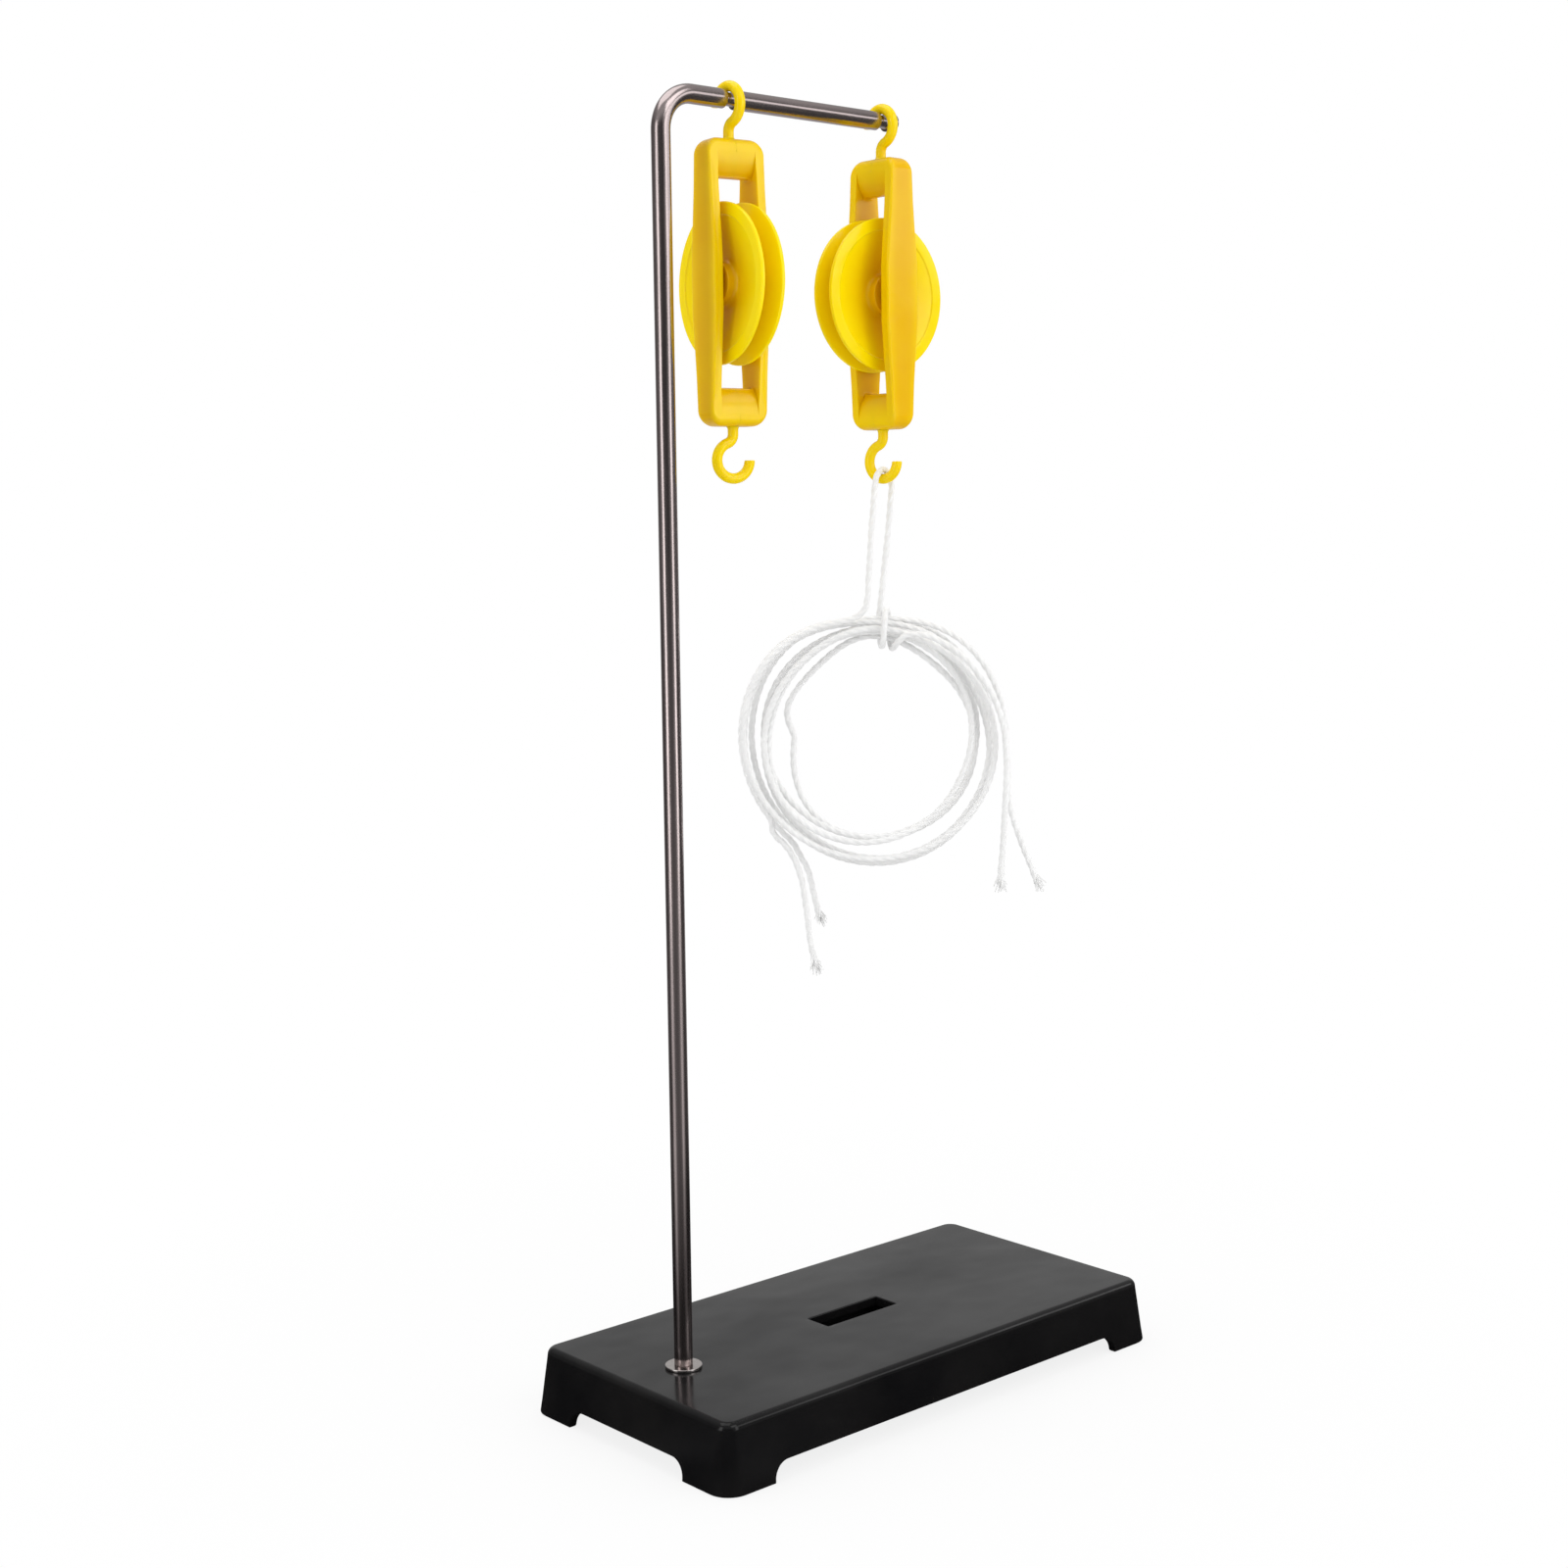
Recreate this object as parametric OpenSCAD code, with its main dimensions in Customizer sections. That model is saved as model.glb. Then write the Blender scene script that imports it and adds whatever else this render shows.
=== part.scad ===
// Pulley demonstrator: a bent rod on a moulded base carries two hanging pulley blocks
// and a hank of string. Millimetres, +Z up, origin at the middle of the base's underside.

/* [Base] */
// Length of the base along the arm
base_len = 200; // [180:1:240]
// Width of the base
base_w = 100; // [90:1:130]
// Height of the base
base_h = 22; // [20:0.5:30]
// How far each side leans in from the floor to the top
base_draft = 2.8; // [1:0.1:5]
// Radius of the upright corners
base_corner_r = 8; // [6:0.5:12]
// Radius of the soft top edge
base_edge_r = 2.5; // [1:0.1:4]
// Wall of the hollow base
base_wall = 3; // [2:0.1:4]
// Radius inside the hollow, under the top edge
base_inner_r = 1; // [0.5:0.1:2]
// Length of each foot along the base
foot_len = 20; // [16:1:30]
// Width of each foot across the base
foot_w = 21; // [16:1:28]
// Height of the arches between the feet
arch_h = 6; // [4:0.5:8]
// Length of the slot in the top
slot_len = 32; // [20:1:50]
// Width of the slot in the top
slot_w = 10; // [6:0.5:16]
// Thickness of the ribs inside the base
rib_t = 2; // [1.5:0.1:3]
// Depth of the ribs below the base's top wall
rib_h = 7; // [4:0.5:9]
// Distance of the ribs from the slot
rib_room = 6; // [3:0.5:10]

/* [Post] */
// Diameter of the bent rod
rod_d = 6; // [5.6:0.1:6.4]
// Distance from the base's end to the post
post_inset = 25; // [20:1:35]
// Height of the arm's centreline above the base
arm_rise = 400; // [380:1:450]
// Radius of the bend, on the rod's centreline
bend_r = 12; // [9:0.5:14]
// Distance along the arm from the post to the left hook
left_reach = 27; // [25:0.5:36]
// Distance along the arm between the two hooks
hook_pitch = 66; // [60:0.5:80]
// Arm left beyond the right hook
arm_tip = 6; // [4:0.5:12]
// Depth of the turned grooves that hold the hooks
seat_depth = 0.9; // [0.5:0.1:1.1]
// Width of the groove's floor
seat_w = 3.8; // [3.6:0.1:5]
// How far each shoulder of the groove leans out, as a share of its height
seat_lean = 0.5; // [0.2:0.1:1]
// Chamfer at the arm's end
tip_chamfer = 0.6; // [0.2:0.1:1]
// Diameter of the threaded stud at the post's foot
stud_d = 5; // [4:0.1:5.2]
// Stud left showing below the nut
stud_spare = 1; // [0.5:0.1:1.8]

/* [Fixings] */
// Outer diameter of both plain washers
washer_d = 12; // [10:0.5:14]
// Thickness of both plain washers
washer_t = 1; // [0.8:0.1:1.2]
// Outer diameter of the lock washer
lock_d = 9; // [8.5:0.1:10]
// Thickness of the lock washer
lock_t = 1.2; // [0.8:0.1:1.4]
// Width of the nut across its flats
nut_af = 8; // [7.5:0.1:9]
// Thickness of the nut
nut_t = 4; // [3:0.1:4.2]
// Diameter of the boss that the stud passes through
boss_d = 16; // [15:0.5:20]
// Depth of the boss below the base's top wall
boss_h = 8; // [6:0.5:9]
// Room round the washer where the ribs are cut away
washer_room = 1; // [0.5:0.1:2]
// Width of the gap in the lock washer
lock_split = 0.6; // [0.4:0.1:1]

/* [Block] */
// Thickness of each cheek
cheek_t = 3.3; // [2.8:0.1:4.5]
// Width of the cheeks at the axle
yoke_mid_w = 14; // [12:0.1:18]
// Width of the cheeks beside the windows
yoke_neck_w = 10.7; // [9.8:0.1:11.8]
// Width of the block at its two ends
yoke_end_w = 9; // [8:0.1:9.7]
// Height of each solid end block
end_block_h = 12; // [11.6:0.1:16]
// Half the height of the cheek's widest stretch
cheek_flat = 9; // [6:0.5:12]
// Radius of the block's corners, seen from the front
yoke_corner_r = 4.5; // [3:0.1:6]
// Radius of the block's corners, seen from the side
yoke_side_r = 2.4; // [1:0.1:3]
// Window between the sheave's rim and each end block
sheave_room = 7; // [5:0.5:12]
// Side play of the hub between the cheeks
side_play = 1.9; // [1.8:0.1:3]
// Diameter of the locating pegs in the end blocks
peg_d = 2; // [1.5:0.1:2.2]
// Length of the locating pegs
peg_len = 3; // [2:0.1:5]
// Distance from the peg's centre to the end block's inner face
peg_inset = 2.3; // [2:0.1:2.6]
// Room beyond the end of each peg
peg_room = 0.3; // [0.2:0.05:0.5]

/* [Sheave] */
// Diameter of the sheave
sheave_d = 50; // [46:1:50]
// Width of the sheave over its two rims
rim_w = 8.6; // [7.6:0.1:9.6]
// Thickness of each flange at the rim
flange_t = 1.2; // [0.9:0.1:1.6]
// Diameter of the groove's floor
groove_d = 25; // [20:0.5:32]
// Width of the groove's floor
groove_w = 1; // [0.6:0.1:2]
// Diameter of the hub
hub_d = 13; // [10:0.5:16]
// Width of the hub
hub_w = 10; // [9.8:0.1:12]
// Thickness of the web where it meets the hub
web_t = 3; // [2.4:0.1:5]
// Inner diameter of the raised ring on each outer face
ring_d = 42; // [38:0.5:44]
// Height of the raised ring
ring_h = 0.4; // [0.2:0.1:0.8]
// Chamfer on the rims' outer edges
rim_chamfer = 0.3; // [0.1:0.1:0.5]
// Diameter of the axle
axle_d = 4; // [3:0.1:5]
// Depth of the blind seats that hold the axle
axle_seat = 2; // [1.5:0.1:2.2]

/* [Hook] */
// Diameter of the hook's round section
hook_wire_d = 3.35; // [3:0.05:3.5]
// Inner diameter of the hook
hook_in_d = 8; // [7.6:0.1:9]
// Distance from the block's end to the hook's centre
hook_drop = 10.5; // [9.5:0.1:12]
// Radius of the small bend in the hook's neck
neck_r = 3; // [2:0.1:4]
// Diameter of the head that keeps the hook in the block
head_d = 6; // [5:0.1:6.4]
// Thickness of the head
head_t = 2.2; // [1.5:0.1:2.4]
// Plastic between the head and the block's end
head_cover = 5; // [4:0.1:5.2]

/* [Fits] */
// Radial clearance of everything that turns
running = 0.06; // [0.02:0.01:0.1]
// Radial clearance of what is pressed or glued in
snug = 0.02; // [0.01:0.01:0.05]
// Gap round the hook's head, in its hollow
head_gap = 0.3; // [0.2:0.05:0.4]
// Gap between a top hook and the rod that it hangs on
hang_gap = 0.2; // [0.1:0.05:0.4]
// Radial clearance of washers, nut and base on the stud
stud_gap = 0.1; // [0.05:0.05:0.3]

/* [Pose] */
// Turn of the left block about its hook, in degrees
left_turn = -9; // [-30:1:30]
// Turn of the right block about its hook, in degrees
right_turn = 89; // [60:1:120]
// Turn of the left block's bottom hook, in degrees
left_hook_turn = -15; // [-90:1:90]
// Turn of the right block's bottom hook, in degrees
right_hook_turn = -81; // [-90:1:-60]
// How far the right sheave has slid along its axle
right_slide = 1.7; // [-1.7:0.1:1.7]

/* [String] */
// Diameter of both strings
string_d = 2.2; // [2:0.1:2.2]
// Radius of the coil's inner loops, on the string's centreline
coil_in_r = 31; // [30.5:0.1:32]
// Radius of the coil's outer loops, on the string's centreline
coil_out_r = 46; // [44:0.1:47]

/* [Hidden] */
$fn = 96;
hull_fn = 32;
over = 1;         // how far a cut runs past the face that it opens
disc_h = 0.1;     // height of the discs that the base's hull starts from
least_corner = 0.5; // what a soft edge leaves of an upright corner's radius

yellow = [0.96, 0.80, 0.04];
steel = [0.72, 0.71, 0.70];
black = [0.05, 0.05, 0.055];
cotton = [0.93, 0.92, 0.90];

// Post and arm
post_x = -base_len / 2 + post_inset;
arm_z = base_h + arm_rise;
left_x = post_x + left_reach;
right_x = left_x + hook_pitch;
arm_end_x = right_x + arm_tip;
seat_r = rod_d / 2 - seat_depth;
shoulder_z = base_h + washer_t;

// The stack under the base, from the boss down
boss_z = base_h - base_wall - boss_h;
under_z = boss_z - washer_t;
lock_z = under_z - lock_t;
nut_z = lock_z - nut_t;
stud_z = nut_z - stud_spare;

// Hooks: the small neck bend runs tangent into the big bend, which ends level with its centre
wire_r = hook_wire_d / 2;
hook_r = hook_in_d / 2 + wire_r;
neck_drop = sqrt(pow(neck_r + hook_r, 2) - neck_r * neck_r);
neck_z = -hook_drop + neck_drop;
neck_angle = acos(neck_r / (neck_r + hook_r));
bead_h = 0.06;
bead_angle = 2; // the bends stop this short of the middle of a bead

// Blocks
yoke_gap = hub_w + 2 * side_play;
yoke_t = yoke_gap + 2 * cheek_t;
yoke_h = sheave_d + 2 * (sheave_room + end_block_h);
hook_top_z = arm_z + seat_r + hang_gap - hook_in_d / 2;
block_top_z = hook_top_z - hook_drop;
axle_z = block_top_z - yoke_h / 2;
block_bottom_z = block_top_z - yoke_h;
hook_bottom_z = block_bottom_z - hook_drop;
axle_len = yoke_gap + 2 * axle_seat;
head_room_t = head_t + 2 * head_gap;
peg_z = yoke_h / 2 - end_block_h + peg_inset;

// ---- Base ----

module drafted_shell(inset, top, edge_r) {
    low_r = base_corner_r - inset;
    high_r = max(base_corner_r - base_draft - inset, edge_r + least_corner);
    low_x = base_len / 2 - inset - low_r;
    low_y = base_w / 2 - inset - low_r;
    high_x = base_len / 2 - base_draft - inset - high_r;
    high_y = base_w / 2 - base_draft - inset - high_r;
    hull() {
        for (sx = [-1, 1], sy = [-1, 1]) {
            translate([sx * low_x, sy * low_y, 0])
                cylinder(h = disc_h, r = low_r, $fn = hull_fn);
            translate([sx * high_x, sy * high_y, top - edge_r])
                rotate_extrude($fn = hull_fn) {
                    square([high_r - edge_r, edge_r]);
                    translate([high_r - edge_r, 0])
                        intersection() {
                            circle(r = edge_r, $fn = hull_fn);
                            square([edge_r, edge_r]);
                        }
                }
        }
    }
}

module arch_cut(span, through) {
    rotate([90, 0, 0])
        linear_extrude(height = through, center = true) {
            translate([-span / 2 + arch_h, -over])
                square([span - 2 * arch_h, arch_h + over]);
            for (side = [-1, 1])
                translate([side * (span / 2 - arch_h), 0])
                    circle(r = arch_h);
        }
}

module rib(x, y, sx, sy) {
    translate([x - sx / 2, y - sy / 2, base_h - base_wall - rib_h])
        cube([sx, sy, rib_h + base_wall / 2]);
}

module base() {
    inner_len = base_len - 2 * base_draft - 2 * base_wall;
    inner_w = base_w - 2 * base_draft - 2 * base_wall;
    rib_x = slot_len / 2 + rib_room;
    rib_y = slot_w / 2 + rib_room;
    color(black)
        difference() {
            union() {
                difference() {
                    drafted_shell(0, base_h, base_edge_r);
                    translate([0, 0, -over])
                        drafted_shell(base_wall, base_h - base_wall + over, base_inner_r);
                }
                translate([post_x, 0, boss_z])
                    cylinder(h = boss_h + base_wall / 2, d = boss_d);
                for (side = [-1, 1]) {
                    rib(side * rib_x, 0, rib_t, inner_w);
                    rib(0, side * rib_y, inner_len, rib_t);
                }
            }
            arch_cut(base_len - 2 * foot_len, base_w + 2 * over);
            rotate([0, 0, 90])
                arch_cut(base_w - 2 * foot_w, base_len + 2 * over);
            translate([-slot_len / 2, -slot_w / 2, base_h - base_wall - over])
                cube([slot_len, slot_w, base_wall + 2 * over]);
            translate([post_x, 0, boss_z - over])
                cylinder(h = base_h - boss_z + 2 * over, d = stud_d + 2 * stud_gap);
            translate([post_x, 0, boss_z - rib_h])
                cylinder(h = rib_h, d = washer_d + 2 * washer_room);
        }
}

// ---- Post and its fixings ----

module seat_cut(x) {
    lean = seat_lean * (rod_d - seat_r);
    translate([x, 0, arm_z])
        rotate([0, 90, 0])
            rotate_extrude()
                polygon([
                    [seat_r, -seat_w / 2],
                    [rod_d, -seat_w / 2 - lean],
                    [rod_d, seat_w / 2 + lean],
                    [seat_r, seat_w / 2]
                ]);
}

module post() {
    color(steel)
        difference() {
            union() {
                translate([post_x, 0, stud_z])
                    cylinder(h = shoulder_z - stud_z + over, d = stud_d);
                translate([post_x, 0, shoulder_z])
                    cylinder(h = arm_z - bend_r - shoulder_z, d = rod_d);
                translate([post_x + bend_r, 0, arm_z - bend_r])
                    rotate([90, 0, 0])
                        rotate([0, 0, 90])
                            rotate_extrude(angle = 90)
                                translate([bend_r, 0])
                                    circle(d = rod_d);
                translate([post_x + bend_r, 0, arm_z])
                    rotate([0, 90, 0])
                        cylinder(h = arm_end_x - tip_chamfer - post_x - bend_r, d = rod_d);
                translate([arm_end_x - tip_chamfer, 0, arm_z])
                    rotate([0, 90, 0])
                        cylinder(h = tip_chamfer, d1 = rod_d, d2 = rod_d - 2 * tip_chamfer);
            }
            seat_cut(left_x);
            seat_cut(right_x);
        }
}

module washer(z, d, t) {
    color(steel)
        translate([post_x, 0, z])
            difference() {
                cylinder(h = t, d = d);
                translate([0, 0, -over])
                    cylinder(h = t + 2 * over, d = stud_d + 2 * stud_gap);
            }
}

module post_washer() {
    washer(base_h, washer_d, washer_t);
}

module under_washer() {
    washer(under_z, washer_d, washer_t);
}

module lock_washer() {
    difference() {
        washer(lock_z, lock_d, lock_t);
        translate([post_x, -lock_split / 2, lock_z - over])
            cube([lock_d, lock_split, lock_t + 2 * over]);
    }
}

module post_nut() {
    color(steel)
        translate([post_x, 0, nut_z])
            difference() {
                cylinder(h = nut_t, d = nut_af / cos(30), $fn = 6);
                translate([0, 0, -over])
                    cylinder(h = nut_t + 2 * over, d = stud_d + 2 * stud_gap);
            }
}

// ---- Pulley blocks: drawn about the axle's centre, with the axle along X ----

module rounded_plate(w, h, r) {
    square([w - 2 * r, h], center = true);
    square([w, h - 2 * r], center = true);
    for (sx = [-1, 1], sy = [-1, 1])
        translate([sx * (w / 2 - r), sy * (h / 2 - r)])
            circle(r = r);
}

module side_outline() {
    neck_at = sheave_d / 2 + sheave_room / 2;
    top = yoke_h / 2;
    r = yoke_side_r;
    right_side = [
        [yoke_mid_w / 2, cheek_flat],
        [yoke_neck_w / 2, neck_at],
        [yoke_end_w / 2, top - r],
        [yoke_end_w / 2 - r, top]
    ];
    count = len(right_side);
    upper = concat(right_side, [for (i = [1:count]) [-right_side[count - i][0], right_side[count - i][1]]]);
    lower = [for (i = [1:len(upper)]) [upper[len(upper) - i][0], -upper[len(upper) - i][1]]];
    polygon(concat(upper, lower));
    for (sx = [-1, 1], sy = [-1, 1])
        translate([sx * (yoke_end_w / 2 - r), sy * (top - r)])
            circle(r = r);
}

module end_block_outline() {
    round_r = yoke_neck_w / 2;
    inner = yoke_h / 2 - end_block_h;
    for (side = [-1, 1]) {
        translate([0, side * (inner + round_r)])
            circle(r = round_r);
        translate([-yoke_mid_w, side > 0 ? inner + round_r : -yoke_h])
            square([2 * yoke_mid_w, yoke_h - inner - round_r]);
    }
}

module along_x(length) {
    rotate([90, 0, 90])
        linear_extrude(height = length, center = true)
            children();
}

module yoke() {
    difference() {
        intersection() {
            rotate([90, 0, 0])
                linear_extrude(height = 2 * yoke_mid_w, center = true)
                    rounded_plate(yoke_t, yoke_h, yoke_corner_r);
            along_x(yoke_t + over)
                side_outline();
        }
        along_x(yoke_gap)
            difference() {
                square([2 * yoke_mid_w, yoke_h], center = true);
                end_block_outline();
            }
        rotate([0, 90, 0])
            cylinder(h = axle_len, r = axle_d / 2 + snug, center = true);
        for (side = [0, 1])
            mirror([0, 0, side]) {
                translate([0, 0, yoke_h / 2 - head_cover])
                    cylinder(h = head_cover + over, r = wire_r + running);
                translate([0, 0, yoke_h / 2 - head_cover - head_room_t])
                    cylinder(h = head_room_t, r = head_d / 2 + head_gap);
            }
    }
}

module pegs(r, length) {
    for (side = [-1, 1])
        translate([-over, 0, side * peg_z])
            rotate([0, 90, 0])
                cylinder(h = length + over, r = r);
}

module cheek_front() {
    color(yellow) {
        intersection() {
            yoke();
            translate([-yoke_h, -yoke_h, -yoke_h])
                cube([yoke_h, 2 * yoke_h, 2 * yoke_h]);
        }
        pegs(peg_d / 2, peg_len);
    }
}

module cheek_back() {
    color(yellow)
        difference() {
            intersection() {
                yoke();
                translate([0, -yoke_h, -yoke_h])
                    cube([yoke_h, 2 * yoke_h, 2 * yoke_h]);
            }
            pegs(peg_d / 2 + snug, peg_len + peg_room);
        }
}

module axle() {
    color(steel)
        rotate([0, 90, 0])
            cylinder(h = axle_len, d = axle_d, center = true);
}

module sheave() {
    bore_r = axle_d / 2 + running;
    rim_r = sheave_d / 2;
    rim_x = rim_w / 2;
    half = [
        [bore_r, hub_w / 2],
        [hub_d / 2, hub_w / 2],
        [hub_d / 2, web_t / 2],
        [ring_d / 2, rim_x - ring_h],
        [ring_d / 2, rim_x],
        [rim_r - rim_chamfer, rim_x],
        [rim_r, rim_x - rim_chamfer],
        [rim_r, rim_x - flange_t],
        [groove_d / 2, groove_w / 2]
    ];
    other = [for (i = [1:len(half)]) [half[len(half) - i][0], -half[len(half) - i][1]]];
    color(yellow)
        rotate([0, 90, 0])
            rotate_extrude()
                polygon(concat(half, other));
}

// ---- Hook: origin at the block's end, block above, hook below, tip towards +X ----

module wire_bend(radius, from, to) {
    rotate([90, 0, 0])
        rotate([0, 0, from])
            rotate_extrude(angle = to - from)
                translate([radius, 0])
                    circle(r = wire_r);
}

module bead() {
    sphere(r = wire_r + bead_h);
}

// The straight neck, the small bend and the big bend meet inside small beads
module hook() {
    color(yellow) {
        translate([0, 0, head_cover + head_gap])
            cylinder(h = head_t, d = head_d);
        translate([0, 0, neck_z])
            cylinder(h = head_cover + head_gap + head_t / 2 - neck_z, r = wire_r);
        translate([0, 0, neck_z])
            bead();
        translate([-neck_r, 0, neck_z])
            wire_bend(neck_r, bead_angle - neck_angle, -bead_angle);
        translate([-neck_r, 0, neck_z])
            rotate([0, neck_angle, 0])
                translate([neck_r, 0, 0])
                    bead();
        translate([0, 0, -hook_drop])
            wire_bend(hook_r, 180 - neck_angle + bead_angle / 2, 360);
    }
}

// ---- Places ----

module at_block(x, turn) {
    translate([x, 0, axle_z])
        rotate([0, 0, turn])
            children();
}

module top_hook_at(x) {
    translate([x, 0, block_top_z])
        rotate([0, 0, 90])
            rotate([180, 0, 0])
                hook();
}

module bottom_hook_at(x, turn) {
    translate([x, 0, block_bottom_z])
        rotate([0, 0, turn])
            hook();
}

module left_cheek_front() {
    at_block(left_x, left_turn) cheek_front();
}

module left_cheek_back() {
    at_block(left_x, left_turn) cheek_back();
}

module left_axle() {
    at_block(left_x, left_turn) axle();
}

module left_sheave() {
    at_block(left_x, left_turn) sheave();
}

module left_top_hook() {
    top_hook_at(left_x);
}

module left_bottom_hook() {
    bottom_hook_at(left_x, left_hook_turn);
}

module right_cheek_front() {
    at_block(right_x, right_turn) cheek_front();
}

module right_cheek_back() {
    at_block(right_x, right_turn) cheek_back();
}

module right_axle() {
    at_block(right_x, right_turn) axle();
}

module right_sheave() {
    at_block(right_x, right_turn) translate([right_slide, 0, 0]) sheave();
}

module right_top_hook() {
    top_hook_at(right_x);
}

module right_bottom_hook() {
    bottom_hook_at(right_x, right_hook_turn);
}

// ---- Strings: drawn in the coil's own plane. The first number runs to the right across the
// coil, the second away behind it and the third up, from the right bottom hook's centre ----

string_turn = -44; // the coil's plane, turned about the hook, in degrees
coil_u = -4;       // the coil's centre
coil_z = -93.65;
layer = 2.8;       // distance between layers
string_sides = 8;
coil_sides = 6;
step_angle = 15;   // between rings of the coil
slack = 1.4;       // how far the loops wander
slack_rate = 1.7;  // how many times they wander in each turn
climb_angle = 180; // over how many degrees a loop climbs a layer
pinch = 0.56;      // how much the wrap draws the loops together
pinch_width = 32;  // over how many degrees to each side of the top
nest_in = 2;       // how much less far in and out the first string's loops reach
nest_out = 1.5;
kink = 6;          // how far the second string's loose inner loop is kinked inwards
kink_at = 720;     // at which angle, and over how many degrees before and after it
kink_before = 45;
kink_after = 14;

// Each string's loops run clockwise from the left, where 0 is the left and 90 the top: from and to
// which angle, from and to which layer, the least and greatest radius and the kink
coil_1 = [-30, 1155, -layer / 2, -layer * 3 / 2, coil_in_r + nest_in, coil_out_r - nest_out, 0];
coil_2 = [-45, 1620, layer * 3 / 2, layer / 2, coil_in_r, coil_out_r, kink];

function from_top(a) = ((a - 90) % 360 + 540) % 360 - 180;
function pinched(a) = exp(-pow(from_top(a) / pinch_width, 2));
function spiral(a, c) = c[4] + (c[5] - c[4]) * abs(2 * (a - c[0]) / (c[1] - c[0]) - 1);
function kinked(a) = exp(-pow((a - kink_at) / (a < kink_at ? kink_before : kink_after), 2));
function loop_r(a, c) =
    let (mean = (coil_in_r + coil_out_r) / 2, p = pinched(a))
    mean + (spiral(a, c) - mean) * (1 - pinch * p) + slack * (1 - p) * sin(slack_rate * a)
    - c[6] * kinked(a);
function climb(a, c) =
    let (t = min(1, max(0, (a - (c[0] + c[1]) / 2) / climb_angle + 0.5)))
    c[2] + (c[3] - c[2]) * (1 - cos(180 * t)) / 2;
function on_coil(a, c) = [coil_u - loop_r(a, c) * cos(a), climb(a, c), coil_z + loop_r(a, c) * sin(a)];
function unit(v) = v / norm(v);
function way(a, c) = unit([sin(a), 0, cos(a)]);

function coil_points(c) = concat(
    [on_coil(c[0], c) - string_d * way(c[0], c)],
    [for (a = [c[0]:step_angle:c[1]]) on_coil(a, c)],
    [on_coil(c[1], c) + string_d * way(c[1], c)]
);
function coil_start(c) = coil_points(c)[0];
function coil_end(c) = coil_points(c)[len(coil_points(c)) - 1];

function least_gap(p, apart) = min([
    for (i = [0:len(p) - 1]) for (j = [i + apart:1:len(p) - 1]) norm(p[i] - p[j])
]) - string_d;

// One tube along points: each ring lies square to the way through its point
function ways(p) = [
    for (i = [0:len(p) - 1]) unit(p[min(i + 1, len(p) - 1)] - p[max(i - 1, 0)])
];
function square_to(side, dir) = unit(side - (side * dir) * dir);
function sides_of(w, first) = [
    for (i = 0, s = square_to(first, w[0]); i < len(w); i = i + 1, s = square_to(s, w[min(i, len(w) - 1)])) s
];

module tube(p, sides, first) {
    w = ways(p);
    s = sides_of(w, first);
    rings = [
        for (i = [0:len(p) - 1]) for (k = [0:sides - 1])
            p[i] + string_d / 2 * (cos(360 * k / sides) * s[i] + sin(360 * k / sides) * cross(w[i], s[i]))
    ];
    last = (len(p) - 1) * sides;
    walls = [
        for (i = [0:len(p) - 2]) for (k = [0:sides - 1])
            let (a = i * sides + k, b = i * sides + (k + 1) % sides)
            each [[a, a + sides, b], [b, a + sides, b + sides]]
    ];
    ends = [for (k = [1:sides - 2]) each [[0, k, k + 1], [last, last + k + 1, last + k]]];
    color(cotton)
        translate([right_x, 0, hook_bottom_z])
            rotate([0, 0, string_turn])
                polyhedron(points = rings, faces = concat(walls, ends));
}

module string_1_short_end() {
    tube([
        coil_start(coil_1), coil_start(coil_1) - string_d * way(coil_1[0], coil_1),
        [-38.4, -1.4, -124.6], [-34, -1.6, -129.4], [-30.8, -1.8, -135], [-28.8, -2, -141.4], [-27.8, -2.2, -148],
        [-27, -2.4, -155], [-26.2, -2.4, -162], [-24.8, -2.4, -168], [-22.5, -2.4, -174]
    ], string_sides, [0, 1, 0]);
}

module string_1_coil() {
    tube(coil_points(coil_1), coil_sides, [0, 1, 0]);
}

// Up over the hook, down behind the coil, once round it, then along its right side
module string_1_long_end() {
    tube([
        coil_end(coil_1), coil_end(coil_1) + string_d * way(coil_1[1], coil_1),
        [-7, -4.4, -49.5], [-5.6, -4.5, -45], [-5.2, -4.5, -39], [-4.8, -4.4, -33], [-4.4, -4.3, -27],
        [-4, -4.1, -21], [-3.4, -3.9, -15], [-2.7, -3.5, -7], [-1.9, -2.5, -4], [0, 0, -2.7],
        [1.9, 2.5, -4], [2.7, 3.5, -7], [2.4, 3.9, -13], [1.8, 4.5, -20], [1.1, 5.2, -27],
        [0.3, 5.9, -34], [-0.5, 6.5, -41], [-1.3, 6.9, -48], [-1.9, 7, -54], [-1.5, 6, -59.6],
        [-1.1, 2, -61.4], [-0.9, -2, -61.4], [-0.6, -6, -59.6], [-0.2, -7, -55.4], [0.2, -6, -51.2],
        [0.5, -2, -49.4], [0.9, 2, -49.4], [1.2, 6, -51.2], [1.6, 7, -55.4], [1.9, 6.2, -60],
        [2.3, 2.4, -62.1], [2.8, -2, -62.1], [4, -5.8, -60.4], [7, -7.2, -57.8], [13, -7.4, -57.6],
        [19, -7.4, -60], [25, -7.4, -64], [30, -7.4, -69], [34.4, -7.4, -75], [37.6, -7.4, -82],
        [39.6, -7.4, -89], [40.4, -7.2, -96], [40.6, -7, -103], [40.4, -6.8, -110], [40, -6.6, -117],
        [39.6, -6.4, -124], [39.2, -6.2, -131], [38.7, -6, -138], [38.9, -6, -145.5]
    ], string_sides, [0, 1, 0]);
}

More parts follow.
